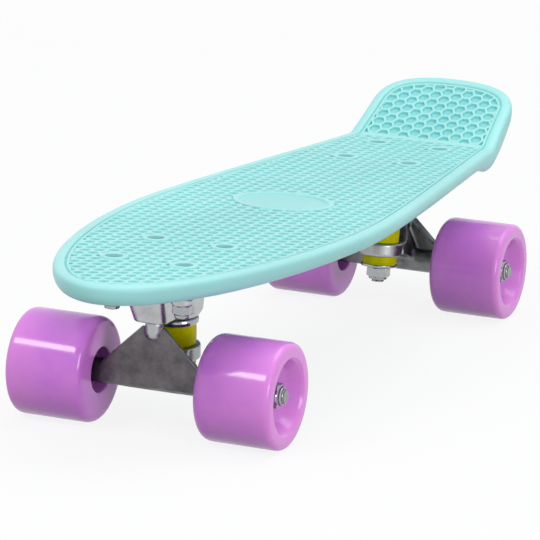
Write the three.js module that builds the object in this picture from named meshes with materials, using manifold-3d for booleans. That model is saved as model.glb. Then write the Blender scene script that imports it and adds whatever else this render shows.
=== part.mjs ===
// Plastic cruiser skateboard: a moulded deck on two kingpin trucks with four wheels.
// Millimetres, +Z up, X across the board, -Y towards the nose, +Y towards the kick tail.
// The origin is on the floor, under the middle of the board's length and width.

import * as THREE from 'three';
import { mergeVertices } from 'three/addons/utils/BufferGeometryUtils.js';
import Module from 'manifold-3d';

const wasm = await Module();
wasm.setup();

// Clearances
const seatGap = 0.1;            // between pieces that are clamped or pressed together
const runGap = 0.3;             // between pieces that turn past each other
const cutOverrun = 2;           // how far a cutting body runs past the face that it cuts
const weldDepth = 0.5;          // how far a rib or boss is sunk into what carries it

// Board
const wheelbase = 356;          // axle to axle
const noseReach = 263.6;        // mid wheelbase to the tip of the nose
const widestHalfWidth = 75.4;
const widestReach = 51;         // mid wheelbase to the widest place, towards the nose
const kickStart = 215.4;         // mid wheelbase to the fold of the kick tail
const kickRootHalfWidth = 48.8;
const kickSideLength = 36;      // from the fold to where the tail's corner begins
const kickHalfWidth = 46.4;
const kickLength = 65.3;        // from the fold to the end of the tail, along the slope
const kickAngleDeg = 29;
const kickBendRadius = 10;

// Handles of the outline's curves, as shares of the stretch that each one spans
const noseBluntShare = 0.62;
const noseSideShare = 0.414;
const waistStartShare = 0.22;
const waistEndShare = 0.235;
const waistTaperShare = 0.092;
const kickTaperShare = 0.05;
const cornerSideShare = 0.64;
const cornerEndShare = 0.73;
const thirdShare = 1 / 3;
const outlineSteps = { nose: 10, waist: 6, kickSide: 2, corner: 6 };

// Deck section
const rimWidth = 6.8;           // outline to the groove that runs round the tread
const rimDepth = 10.6;          // crown to the bottom of the rim
const noseRimDepth = 11.6;      // the same at the nose
const noseSwellStart = 80;      // mid wheelbase to where the rim begins to deepen for the nose
const noseSwellEnd = 230;
const heelRimDepth = 18;        // crown to the bottom of the rim at the heel under the kick's root
const heelStart = 188;          // where the rim begins to deepen for the heel, along the deck
const heelPeak = 231;
const heelEnd = 279;
const lipWidth = 9;             // outline to the inner wall of the rim, underneath
const grooveDepth = 1;
const grooveWidth = 0.8;
const borderWidth = 1.6;        // flat raised border between groove and tread
const borderDrop = 0.3;         // crown down to the border
const treadDrop = 0.6;          // crown down to the tops of the tread's ridges
const panelDepth = 4.5;         // crown down to the underside of the panel

// Rim profile from the groove out, round the edge and under, as shares of rim width and rim depth
const rimTopShares = [[0.87, 0.02], [0.6, 0], [0.3, 0.04], [0.08, 0.15], [0, 0.3]];
const rimUnderShares = [[0.08, 0.52], [0.3, 0.78], [0.7, 1]];

// Honeycomb tread on the kick
const cellPitch = 7.88;
const cellRidge = 1.5;
const cellDepth = 1.3;
const honeycombStart = 2.2;     // from the fold to the edge of the pockets
const firstCell = 3.1;           // from the fold to the first cell's centre on the centre line

// Oval plate at mid deck, left bare
const ovalHalfWidth = 29;
const ovalHalfLength = 25;
const ovalRimWidth = 1.6;
const ovalRimRise = 0.5;        // rim of the oval above its plate

// Ribs and truck pads under the deck
const ribWidth = 2.6;
const ribDepth = 7.2;           // crown down to the ribs' lower edge
const ribSideReach = 26;
const ribCrossPitch = 40;
const ribCrossCount = 9;
const padDepth = 10.5;          // crown down to the truck pads' lower face
const padMargin = 1.5;          // pad past the baseplate's flange

// Deck bolts
const boltSpacingAcross = 41.3;
const boltSpacingAlong = 54;
const boltShift = 11.3;         // bolt pattern's centre from the axle, towards mid wheelbase
const boltShankRadius = 2.4;
const boltHoleRadius = 2.75;
const boltHeadRadius = 4.3;
const boltHeadEdge = 0.4;
const boltSeatRadius = 4.8;
const boltSeatDepth = 3.4;      // crown down to the top of the bolt's head
const boltConeHeight = 2.1;
const boltRingRadius = 6.4;
const deckNutFlats = 9.5;
const deckNutHeight = 5;
const deckNutCollarRadius = 4.3;
const deckNutCollarHeight = 2.1;
const deckNutChamfer = 0.5;
const boltEndReach = 0.8;       // shank's end short of the nut's collar end

// Wheels
const wheelRadius = 29.5;
const wheelWidth = 45;
const wheelTrack = 111;         // wheel centre to wheel centre
const wheelEdgeRadius = 5;
const wheelRecessRadius = 12;   // inboard mouth, round the hanger's end
const wheelDishRadius = 22.5;
const wheelDishFloorRadius = 13.6;
const wheelDishStep = 1.2;
const wheelCoreRadius = 9.3;    // shoulder between the two bearings

// Bearings, spacers and axles
const bearingRadius = 11;
const bearingWidth = 7;
const bearingGap = 10;          // between the two bearings of a wheel
const raceRadius = 6;
const spacerRadius = 5.2;
const shieldRadius = 9.4;
const shieldDrop = 0.5;
const speedWasherWidth = 1;
const axleRadius = 4;
const axleEndReach = 1.2;       // past the nut
const axleChamfer = 0.6;
const axleNutFlats = 12.7;
const axleNutWidth = 7.2;
const axleNutCollarRadius = 5.4;
const axleNutCollarWidth = 1.8;
const nutChamfer = 0.8;

// Truck layout. In a truck's own frame the origin is the axle's centre, +Y points inboard and
// +Z up, so heights here are above the axle.
const kingpinReach = 25.3;      // axle to the bushing ring's centre, inboard
const ringHeight = 10.5;        // axle up to the ring's centre
const kingpinTiltDeg = 5.5;
const pivotReach = 5.2;         // axle to the pivot stem, outboard
const pivotBallDepth = 3.5;     // pivot block's tip up to the centre of the pivot's ball end
const housingRise = 26.6;       // kingpin housing's tip up to the baseplate's top

// Hanger
const hangerHalfWidth = 39.7;
const plateFront = 7;           // front plate's face from the axle, outboard
const plateThickness = 4.5;
const plateApexHalfWidth = 6.6;
const plateApexHeight = 30.3;
const plateShoulderHalfWidth = 29.4;
const plateShoulderHeight = 8.8;
const armHalfHeight = 5.6;
const armShoulderHalfWidth = 33;
const armInboard = 6;
const armCorner = 2.2;
const ringRadius = 13.3;
const ringHalfHeight = 4;
const ringBoreRadius = 8.1;
const stemRadius = 4.3;
const stemFootHeight = 26;
const gussetReach = 17;
const gussetThickness = 2.6;
const gussetHeight = 12;

// Neck between plate and ring: stations from the plate to the ring. The reach is a share of the
// kingpin's reach, the half width of the ring's radius, the lower edge of the ring's height above
// the axle and the upper edge of the plate's apex height.
const neckShares = [
  { reach: -0.115, halfWidth: 0.466, low: -0.438, high: 0.904 },
  { reach: 0.158, halfWidth: 0.571, low: 0.057, high: 0.66 },
  { reach: 0.415, halfWidth: 0.707, low: 0.438, high: 0.455 },
  { reach: 0.617, halfWidth: 0.797, low: 0.61, high: 0.416 },
];
const neckCorner = 1.6;

// Baseplate
const flangeHalfWidth = 27.8;
const flangeEndMargin = 8;      // bolt hole to the flange's end
const flangeThickness = 7;
const flangeCorner = 6;
const nutBossRadius = 6.3;
const nutBossHeight = 4.3;      // only under the outboard holes
const pivotBlock = {
  rootHalfWidth: 12.6, rootFront: -17, rootBack: 7, tipHalfWidth: 9.3, tipFront: -14.2,
  tipBack: 4.6, drop: 24.9, corner: 2.4,
};
const housingTipRadius = 12.6;
const housingShoulderRadius = 14.8;
const housingShoulderHeight = 3.4;
const housingRootRadius = 16.8;
const webHalfWidth = 7.5;
const webHeight = 14;
const cupRadius = 6;
const cupWall = 1.15;
const cupDepth = 9.1;
const cupMouthFlare = 0.75;

// Kingpin stack, from the ring up and down
const kingpinRadius = 4.2;
const kingpinHeadFlats = 14;
const kingpinHeadHeight = 5.6;
const kingpinHeadSeat = 19.2;   // kingpin housing's tip up to the underside of the head
const kingpinEndReach = 1.6;    // past the nut
const bushingRadius = 11;
const bushingWaist = 0.5;
const topBushingHeight = 14.6;
const bottomBushingHeight = 6.2;
const bottomBushingTaper = 0.9;
const spigotRadius = 7.6;
const spigotLength = 3.4;
const topWasherRadius = 12.4;
const bottomWasherRadius = 11.4;
const washerThickness = 1.9;
const bottomWasherThickness = 1.1;
const washerSkirt = 2.2;
const bottomWasherSkirt = 0.9;
const washerSkirtWall = 0.9;
const kingpinNutFlats = 13.6;
const kingpinNutHeight = 7.4;

// Facets round each kind of turned piece
const wheelSides = 20;
const turnedSides = 12;
const bearingSides = 10;
const smallSides = 8;
const hexSides = 6;
const cornerSteps = 2;
const stemCapSteps = 3;
const ovalSides = 24;

const rad = THREE.MathUtils.degToRad;
const halfBase = wheelbase / 2;
const halfTrack = wheelTrack / 2;
const halfPitchRise = Math.sqrt(3) / 2;      // row step of a hexagonal lattice, per pitch

// Heights along the kingpin, above the ring's centre, and the truck's heights above the axle
const washerTop = ringHalfHeight + seatGap + topBushingHeight + seatGap + washerThickness;
const housingTip = washerTop + seatGap;
const kingpinHeadRise = housingTip + kingpinHeadSeat;
const baseTopHeight = ringHeight + housingTip + housingRise;
const blockTipHeight = baseTopHeight - pivotBlock.drop;
const pivotHeight = blockTipHeight + pivotBallDepth;

// Floor to the crown of the deck's rim
const deckTopHeight = wheelRadius + baseTopHeight + seatGap + padDepth;

// Materials, with colours as in daylight
const material = (color, roughness, metalness) =>
  new THREE.MeshStandardMaterial({ color, roughness, metalness });
const deckPlastic = material(0x8fe3dd, 0.32, 0);
const castAluminium = material(0xc3c5c8, 0.25, 1);
const pivotPlastic = material(0x2b2b2d, 0.6, 0);
const bushingUrethane = material(0xb9b50e, 0.45, 0);
const wheelUrethane = material(0xb46ccf, 0.35, 0);
const brightSteel = material(0xd4d6d8, 0.2, 1);
const zincSteel = material(0xaab0b4, 0.35, 1);
const bearingSteel = material(0x9a9da1, 0.3, 1);

const board = new THREE.Group();

function addPiece(parent, name, geometry, finish) {
  const mesh = new THREE.Mesh(geometry, finish);
  mesh.name = name;
  parent.add(mesh);
  return mesh;
}

// Join the seams of a geometry and drop the slivers that a turned piece has at its axis
function welded(geometry) {
  const bare = geometry.clone();
  bare.deleteAttribute('normal');
  bare.deleteAttribute('uv');
  const merged = mergeVertices(bare);
  const corners = Array.from(merged.index.array);
  const kept = corners.flatMap((a, i) => {
    const [b, c] = [corners[i + 1], corners[i + 2]];
    return i % 3 === 0 && a !== b && b !== c && c !== a ? [a, b, c] : [];
  });
  merged.setIndex(kept);
  merged.computeVertexNormals();
  return merged;
}

// A closed geometry as a solid for cutting and joining, and back again
function toSolid(geometry) {
  const merged = welded(geometry);
  return new wasm.Manifold(new wasm.Mesh({
    numProp: 3,
    vertProperties: new Float32Array(merged.attributes.position.array),
    triVerts: new Uint32Array(merged.index.array),
  }));
}

function toGeometry(solid) {
  const { vertProperties, triVerts } = solid.getMesh();
  const geometry = new THREE.BufferGeometry();
  geometry.setAttribute('position', new THREE.BufferAttribute(new Float32Array(vertProperties), 3));
  geometry.setIndex(new THREE.BufferAttribute(new Uint32Array(triVerts), 1));
  geometry.computeVertexNormals();
  return geometry;
}

const joined = (first, ...rest) => rest.reduce((sum, next) => sum.add(toSolid(next)), toSolid(first));
const cutBy = (solid, ...tools) => tools.reduce((left, tool) => left.subtract(toSolid(tool)), solid);

// Area of a closed outline, positive when it runs anticlockwise
function signedArea(points) {
  return points.reduce((sum, [x, y], i) => {
    const [nextX, nextY] = points[(i + 1) % points.length];
    return sum + (x * nextY - nextX * y) / 2;
  }, 0);
}

// A turned piece about +Z. The profile is [radius, height] pairs, listed either way round; one that
// doesn't touch the axis closes on itself and leaves a bore.
function turned(profile, sides = turnedSides) {
  const upward = signedArea(profile) > 0 ? profile : [...profile].reverse();
  const before = (i) => upward[(i + upward.length - 1) % upward.length];
  const start = upward.findIndex(([r], i) => r === 0 && before(i)[0] === 0);
  const ordered = start < 0 ? [...upward, upward[0]] : [...upward.slice(start), ...upward.slice(0, start)];
  const points = ordered.map(([r, h]) => new THREE.Vector2(r, h));
  return welded(new THREE.LatheGeometry(points, sides).rotateX(Math.PI / 2));
}

// Radius of a faceted bore whose flats just clear a round of the given radius
const clearOf = (radius, sides) => radius / Math.cos(Math.PI / sides);

// Turn a piece made about +Z so that it lies along +X
const alongX = (geometry) => geometry.rotateY(Math.PI / 2);

const moved = (geometry, x, y, z) => geometry.translate(x, y, z);

// A plate with its outline in the XY plane, from one height to another
function plateBetween(shape, low, high) {
  const options = { depth: high - low, bevelEnabled: false, curveSegments: cornerSteps * 2 };
  return new THREE.ExtrudeGeometry(shape, options).translate(0, 0, low);
}

function polygonShape(points) {
  return new THREE.Shape(points.map(([x, y]) => new THREE.Vector2(x, y)));
}

// Corner points of a rounded rectangle, anticlockwise
function roundedRectangle(left, right, low, high, corner) {
  const corners = [
    [right - corner, high - corner, 0], [left + corner, high - corner, 1],
    [left + corner, low + corner, 2], [right - corner, low + corner, 3],
  ];
  return corners.flatMap(([x, y, quarter]) => Array.from({ length: cornerSteps + 1 }, (_, step) => {
    const turn = (quarter + step / cornerSteps) * Math.PI / 2;
    return [x + corner * Math.cos(turn), y + corner * Math.sin(turn)];
  }));
}

// Volume inside a closed skin, negative when its faces point inwards
function volumeOf(points, faces) {
  let volume = 0;
  for (let i = 0; i < faces.length; i += 3) {
    const [a, b, c] = faces.slice(i, i + 3).map((index) => points[index]);
    volume += a.dot(b.clone().cross(c)) / 6;
  }
  return volume;
}

// A closed skin over rings with equal point counts, capped by a fan or by strips across. The rings
// may run either way round.
function loft(rings, stripCaps = false) {
  const count = rings[0].length;
  const positions = rings.flatMap((ring) => ring.flatMap((p) => [p.x, p.y, p.z]));
  const faces = [];
  for (let r = 0; r + 1 < rings.length; r += 1) {
    for (let i = 0; i < count; i += 1) {
      const a = r * count + i;
      const b = r * count + (i + 1) % count;
      faces.push(a, b, b + count, a, b + count, a + count);
    }
  }
  const cap = (base, flip) => {
    const add = (a, b, c) => faces.push(base + a, base + (flip ? c : b), base + (flip ? b : c));
    if (stripCaps) {
      for (let i = 0; i < count / 2; i += 1) {
        const mirrored = (count - i) % count;
        if (i > 0) add(i, mirrored, mirrored - 1);
        if (i + 1 < count / 2) add(i, (i === 0 ? count : mirrored) - 1, i + 1);
      }
    } else {
      for (let i = 1; i + 1 < count; i += 1) add(0, i + 1, i);
    }
  };
  cap(0, false);
  cap((rings.length - 1) * count, true);
  const geometry = new THREE.BufferGeometry();
  geometry.setAttribute('position', new THREE.Float32BufferAttribute(positions, 3));
  geometry.setIndex(volumeOf(rings.flat(), faces) < 0 ? faces.reverse() : faces);
  return geometry;
}

// A nut about +Z with its seat at height zero, a round collar on top and a round bore
function nut(flats, height, chamfer, collarRadius, collarHeight, boreRadius) {
  const corner = flats / Math.sqrt(3);
  const body = turned([
    [0, 0], [corner, 0], [corner, height - chamfer], [corner - chamfer, height], [0, height],
  ], hexSides);
  const collar = turned([
    [0, height - weldDepth], [collarRadius, height - weldDepth], [collarRadius, height + collarHeight / 2],
    [collarRadius - chamfer, height + collarHeight], [0, height + collarHeight],
  ], smallSides);
  const top = height + collarHeight + cutOverrun;
  const across = clearOf(boreRadius, smallSides);
  const bore = turned([[0, -cutOverrun], [across, -cutOverrun], [across, top], [0, top]], smallSides);
  return toGeometry(cutBy(joined(body, collar), bore));
}

// Deck

// Half of the outline from the nose's tip to the tail's end, x across and s along the deck
function outlineHalf() {
  const kickEnd = kickStart + kickLength;
  const cornerStart = kickStart + kickSideLength;
  const noseSpan = noseReach - widestReach;
  const waistSpan = kickStart + widestReach;
  const kickThird = kickSideLength * thirdShare;
  const waistHandle = waistSpan * waistEndShare;
  const cornerSpan = kickEnd - cornerStart;
  const cornerHandle = cornerSpan * cornerSideShare;
  const point = (x, s) => new THREE.Vector2(x, s);
  const curves = [
    [outlineSteps.nose, point(0, -noseReach), point(widestHalfWidth * noseBluntShare, -noseReach),
      point(widestHalfWidth, -widestReach - noseSpan * noseSideShare), point(widestHalfWidth, -widestReach)],
    [outlineSteps.waist, point(widestHalfWidth, -widestReach),
      point(widestHalfWidth, waistSpan * waistStartShare - widestReach),
      point(kickRootHalfWidth + waistHandle * waistTaperShare, kickStart - waistHandle),
      point(kickRootHalfWidth, kickStart)],
    [outlineSteps.kickSide, point(kickRootHalfWidth, kickStart),
      point(kickRootHalfWidth - kickThird * waistTaperShare, kickStart + kickThird),
      point(kickHalfWidth + kickThird * kickTaperShare, cornerStart - kickThird),
      point(kickHalfWidth, cornerStart)],
    [outlineSteps.corner, point(kickHalfWidth, cornerStart),
      point(kickHalfWidth - cornerHandle * kickTaperShare, cornerStart + cornerHandle),
      point(kickHalfWidth * cornerEndShare, kickEnd), point(0, kickEnd)],
  ];
  const places = [];
  curves.forEach(([steps, ...handles], index) => {
    const curve = new THREE.CubicBezierCurve(...handles);
    for (let i = index === 0 ? 0 : 1; i <= steps; i += 1) {
      const tangent = curve.getTangent(i / steps);
      places.push({ at: curve.getPoint(i / steps), outward: point(tangent.y, -tangent.x) });
    }
  });
  places[0].outward = point(0, -1);
  places[places.length - 1].outward = point(0, 1);
  return places;
}

const outline = outlineHalf();
const kickBend = rad(kickAngleDeg);
const bendStart = kickStart - kickBendRadius * kickBend / 2;
const bendEnd = kickStart + kickBendRadius * kickBend / 2;

// The deck's own coordinates, x across, s along its crown and depth below the crown, to space
function onDeck(x, s, depth) {
  const turn = THREE.MathUtils.clamp((s - bendStart) / kickBendRadius, 0, kickBend);
  const straight = Math.max(s - bendEnd, 0);
  const y = Math.min(s, bendStart) + kickBendRadius * Math.sin(turn) + straight * Math.cos(turn);
  const z = kickBendRadius * (1 - Math.cos(turn)) + straight * Math.sin(turn);
  return new THREE.Vector3(x, y + depth * Math.sin(turn), deckTopHeight + z - depth * Math.cos(turn));
}

// Depth of the rim, which swells a little at the nose and into the heel under the kick's root
function rimDepthAt(s) {
  const rise = THREE.MathUtils.clamp((s - heelStart) / (heelPeak - heelStart), 0, 1);
  const fall = THREE.MathUtils.clamp((s - heelPeak) / (heelEnd - heelPeak), 0, 1);
  const swell = rise * Math.cos(fall * Math.PI / 2) ** 2;
  const noseSwell = THREE.MathUtils.smoothstep(-s, noseSwellStart, noseSwellEnd);
  return rimDepth + (noseRimDepth - rimDepth) * noseSwell + (heelRimDepth - rimDepth) * swell;
}

// The outline, set in by an inset, as points of a half
function insetHalf(inset) {
  return outline.map(({ at, outward }) => [at.x - outward.x * inset, at.y - outward.y * inset]);
}

// One ring round the deck; depthAt gives the depth for a place along the deck
function deckRing(inset, depthAt) {
  const half = insetHalf(inset);
  const back = half.slice(1, -1).reverse().map(([x, s]) => [-x, s]);
  return [...half, ...back].map(([x, s]) => onDeck(x, s, depthAt(s)));
}

function deckShell() {
  const sideDepth = rimDepth * rimTopShares[rimTopShares.length - 1][1];
  const swollen = (share) => (s) => {
    const below = (share * rimDepth - sideDepth) / (rimDepth - sideDepth);
    return sideDepth + below * (rimDepthAt(s) - sideDepth);
  };
  const treadInset = rimWidth + grooveWidth + borderWidth;
  const rings = [
    [treadInset, () => treadDrop],
    [treadInset, () => borderDrop],
    [rimWidth + grooveWidth, () => borderDrop],
    [rimWidth + grooveWidth / 2, () => grooveDepth],
    ...rimTopShares.map(([across, down]) => [across * rimWidth, () => down * rimDepth]),
    ...rimUnderShares.map(([across, down]) => [across * rimWidth, swollen(down)]),
    [lipWidth - weldDepth, swollen(1)],
    [lipWidth, () => panelDepth],
  ].map(([inset, depthAt]) => deckRing(inset, depthAt));
  return loft(rings, true);
}

// A bar under or on the deck that follows the fold, between two x, two s and two depths
function deckBar(xLow, xHigh, sLow, sHigh, depthHigh, depthLow) {
  const bends = [bendStart, (bendStart + bendEnd) / 2, bendEnd].filter((s) => s > sLow && s < sHigh);
  const rings = [sLow, ...bends, sHigh].map((s) => [
    onDeck(xLow, s, depthHigh), onDeck(xHigh, s, depthHigh),
    onDeck(xHigh, s, depthLow), onDeck(xLow, s, depthLow),
  ]);
  return loft(rings.reverse());
}

// Half width inside the rim's lip at a place along the deck
function innerHalfWidth(s) {
  const half = insetHalf(lipWidth);
  const next = half.findIndex(([, along]) => along > s);
  if (next < 1) return 0;
  const [[x0, s0], [x1, s1]] = [half[next - 1], half[next]];
  return x0 + (x1 - x0) * (s - s0) / (s1 - s0);
}

const flangeFront = boltShift - boltSpacingAlong / 2 - flangeEndMargin;
const flangeBack = boltShift + boltSpacingAlong / 2 + flangeEndMargin;

// Both ends' truck pads, as the nearer and farther edge from mid wheelbase
const padNear = halfBase - flangeBack - padMargin;
const padFar = halfBase - flangeFront + padMargin;

function deckUnderside() {
  const parts = [];
  const padHalfWidth = flangeHalfWidth + padMargin;
  const root = panelDepth - weldDepth;
  for (const [from, to] of [[-padFar, -padNear], [padNear, padFar]]) {
    parts.push(deckBar(-padHalfWidth, padHalfWidth, from, to, root, padDepth));
  }
  const noseEnd = lipWidth + ribWidth - noseReach;
  const tailEnd = kickStart + kickLength - lipWidth - ribWidth;
  for (const x of [-ribSideReach, 0, ribSideReach]) {
    const clear = Math.abs(x) + ribWidth;
    let from = noseEnd;
    while (innerHalfWidth(from) < clear) from += ribWidth;
    let to = tailEnd;
    while (innerHalfWidth(to) < clear) to -= ribWidth;
    parts.push(deckBar(x - ribWidth / 2, x + ribWidth / 2, from, to, root, ribDepth));
  }
  for (let i = 0; i < ribCrossCount; i += 1) {
    const s = (i - (ribCrossCount - 1) / 2) * ribCrossPitch - ribWidth;
    const reach = innerHalfWidth(s) + weldDepth;
    parts.push(deckBar(-reach, reach, s - ribWidth / 2, s + ribWidth / 2, root, ribDepth));
  }
  return parts;
}

// Hexagonal pockets of the kick's tread, made flat at the fold's end and then tipped up
function kickPockets() {
  const treadInset = rimWidth + grooveWidth + borderWidth;
  const half = insetHalf(treadInset).filter(([, s]) => s > kickStart + honeycombStart);
  const field = [[half[0][0], kickStart + honeycombStart], ...half];
  const mirrored = field.slice(0, -1).reverse().map(([x, s]) => [-x, s]);
  const floor = -treadDrop - cellDepth;
  const limits = toSolid(plateBetween(polygonShape([...field, ...mirrored]), floor, cutOverrun));
  const pocketRadius = (cellPitch - cellRidge) / Math.sqrt(3);
  const columnStep = cellPitch * halfPitchRise;
  const columns = Math.ceil(kickHalfWidth / columnStep);
  const rows = Math.ceil(kickLength / cellPitch);
  let cells = null;
  for (let column = -columns; column <= columns; column += 1) {
    for (let row = 0; row <= rows; row += 1) {
      const x = column * columnStep;
      const s = kickStart + firstCell + (row - (column % 2 === 0 ? 0 : 1 / 2)) * cellPitch;
      const cell = toSolid(moved(turned([
        [0, floor - cutOverrun], [pocketRadius, floor - cutOverrun],
        [pocketRadius, cutOverrun], [0, cutOverrun],
      ], hexSides).rotateZ(Math.PI / 2), x, s, 0));
      cells = cells ? cells.add(cell) : cell;
    }
  }
  const flat = toGeometry(limits.intersect(cells));
  const fold = onDeck(0, bendEnd, 0);
  return flat.translate(0, -bendEnd, 0).rotateX(kickBend).translate(0, fold.y, fold.z);
}

// The nuts of the outboard bolts sit on bosses, those of the inboard bolts on the bare flange
const flangeBottom = baseTopHeight - flangeThickness;
const boltPlaces = [-1, 1].flatMap((end) => [-1, 1].flatMap((side) => [-1, 1].map((inner) => ({
  x: side * boltSpacingAcross / 2,
  y: end * (halfBase - boltShift - inner * boltSpacingAlong / 2),
  nutSeat: wheelRadius + flangeBottom - (inner < 0 ? nutBossHeight : 0) - seatGap,
}))));

const boltHeadTop = deckTopHeight - boltSeatDepth;
const boltHeadFoot = boltHeadTop - boltHeadEdge - boltConeHeight;

function deckSolid() {
  const underside = deckUnderside();
  const rings = boltPlaces.map(({ x, y }) => moved(turned([
    [0, 0], [boltRingRadius, 0], [boltRingRadius, panelDepth - borderDrop - weldDepth],
    [0, panelDepth - borderDrop - weldDepth],
  ], smallSides), x, y, deckTopHeight - panelDepth + weldDepth));
  const ovalTop = deckTopHeight - borderDrop;
  const ovalPlate = (inset, low, high) => turned([[0, low], [1, low], [1, high], [0, high]], ovalSides)
    .scale(ovalHalfWidth - inset, ovalHalfLength - inset, 1).translate(0, 0, ovalTop);
  const oval = ovalPlate(0, -panelDepth / 2, 0);
  const ovalFloor = ovalPlate(ovalRimWidth, -ovalRimRise, cutOverrun);
  const seats = boltPlaces.map(({ x, y }) => moved(turned([
    [0, deckTopHeight + cutOverrun], [boltSeatRadius, deckTopHeight + cutOverrun],
    [boltSeatRadius, boltHeadTop - boltHeadEdge - seatGap],
    [boltHoleRadius, boltHeadFoot - seatGap],
    [boltHoleRadius, deckTopHeight - padDepth - cutOverrun],
    [0, deckTopHeight - padDepth - cutOverrun],
  ], smallSides), x, y, 0));
  return cutBy(joined(deckShell(), ...underside, ...rings, oval), kickPockets(), ovalFloor, ...seats);
}

// Deck bolts and their nuts

function deckBolt(nutSeat) {
  const shankEnd = nutSeat - deckNutHeight - deckNutCollarHeight + boltEndReach;
  return turned([
    [0, boltHeadTop], [boltHeadRadius, boltHeadTop], [boltHeadRadius, boltHeadTop - boltHeadEdge],
    [boltShankRadius, boltHeadFoot], [boltShankRadius, shankEnd], [0, shankEnd],
  ], smallSides);
}

function deckNut(nutSeat) {
  const bore = boltShankRadius + seatGap;
  return nut(deckNutFlats, deckNutHeight, deckNutChamfer, deckNutCollarRadius, deckNutCollarHeight, bore)
    .rotateX(Math.PI).translate(0, 0, nutSeat);
}

// Wheels, bearings, sleeves and nuts, each turned about the axle and laid along +X. Distances are
// from the wheel's middle, positive outboard.

const bearingInboard = hangerHalfWidth + speedWasherWidth + seatGap - halfTrack;
const innerBearingEnd = bearingInboard + bearingWidth;
const outerBearingStart = innerBearingEnd + bearingGap;
const bearingOutboard = outerBearingStart + bearingWidth;
const nutStart = bearingOutboard + speedWasherWidth + seatGap;
const axleEnd = halfTrack + nutStart + axleNutWidth + axleNutCollarWidth + axleEndReach;

function wheelProfile() {
  const face = wheelWidth / 2;
  const seat = clearOf(bearingRadius + seatGap, wheelSides);
  const edge = (side, step) => {
    const turn = step / (cornerSteps + 1) * Math.PI / 2;
    const inset = wheelEdgeRadius * (1 - Math.cos(turn));
    const along = wheelEdgeRadius * (1 - Math.sin(turn));
    return [wheelRadius - inset, side * (face - along)];
  };
  const steps = Array.from({ length: cornerSteps + 2 }, (_, i) => i);
  return [
    [wheelCoreRadius, innerBearingEnd + seatGap], [seat, innerBearingEnd + seatGap],
    [seat, bearingInboard - seatGap], [wheelRecessRadius, bearingInboard - seatGap],
    [wheelRecessRadius, -face],
    ...[...steps].reverse().map((step) => edge(-1, step)),
    ...steps.map((step) => edge(1, step)),
    [wheelDishRadius - wheelDishStep, face], [wheelDishRadius - 2 * wheelDishStep, face - 2 * wheelDishStep],
    [wheelDishFloorRadius, bearingOutboard + 2 * seatGap],
    [seat, bearingOutboard + 2 * seatGap], [seat, outerBearingStart - seatGap],
    [wheelCoreRadius, outerBearingStart - seatGap],
  ];
}

// Outer race, with its shield let in a little on the open side. The flats of its bore clear the
// corners of the inner race as it turns.
function bearingProfile(buried, open) {
  const bore = clearOf(raceRadius + runGap, bearingSides);
  const shield = open + Math.sign(buried - open) * shieldDrop;
  return [
    [bore, buried], [bearingRadius, buried], [bearingRadius, open], [shieldRadius, open],
    [shieldRadius, shield], [bore, shield],
  ];
}

// The stack that the nut clamps on the axle: two inner races, the spacer and two speed washers
function sleeveProfile() {
  const bore = clearOf(axleRadius + seatGap, bearingSides);
  const inboard = bearingInboard - speedWasherWidth;
  const outboard = bearingOutboard + speedWasherWidth;
  return [
    [bore, inboard], [raceRadius, inboard], [raceRadius, innerBearingEnd], [spacerRadius, innerBearingEnd],
    [spacerRadius, outerBearingStart], [raceRadius, outerBearingStart], [raceRadius, outboard],
    [bore, outboard],
  ];
}

function axleRod() {
  return alongX(turned([
    [0, -axleEnd], [axleRadius - axleChamfer, -axleEnd], [axleRadius, axleChamfer - axleEnd],
    [axleRadius, axleEnd - axleChamfer], [axleRadius - axleChamfer, axleEnd], [0, axleEnd],
  ]));
}

// Hanger, in the truck's frame

const kingpinTilt = rad(kingpinTiltDeg);

// From the kingpin's own frame, with its origin at the ring's centre, to the truck's
const inKingpin = (geometry) => geometry.rotateX(kingpinTilt).translate(0, kingpinReach, ringHeight);

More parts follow.
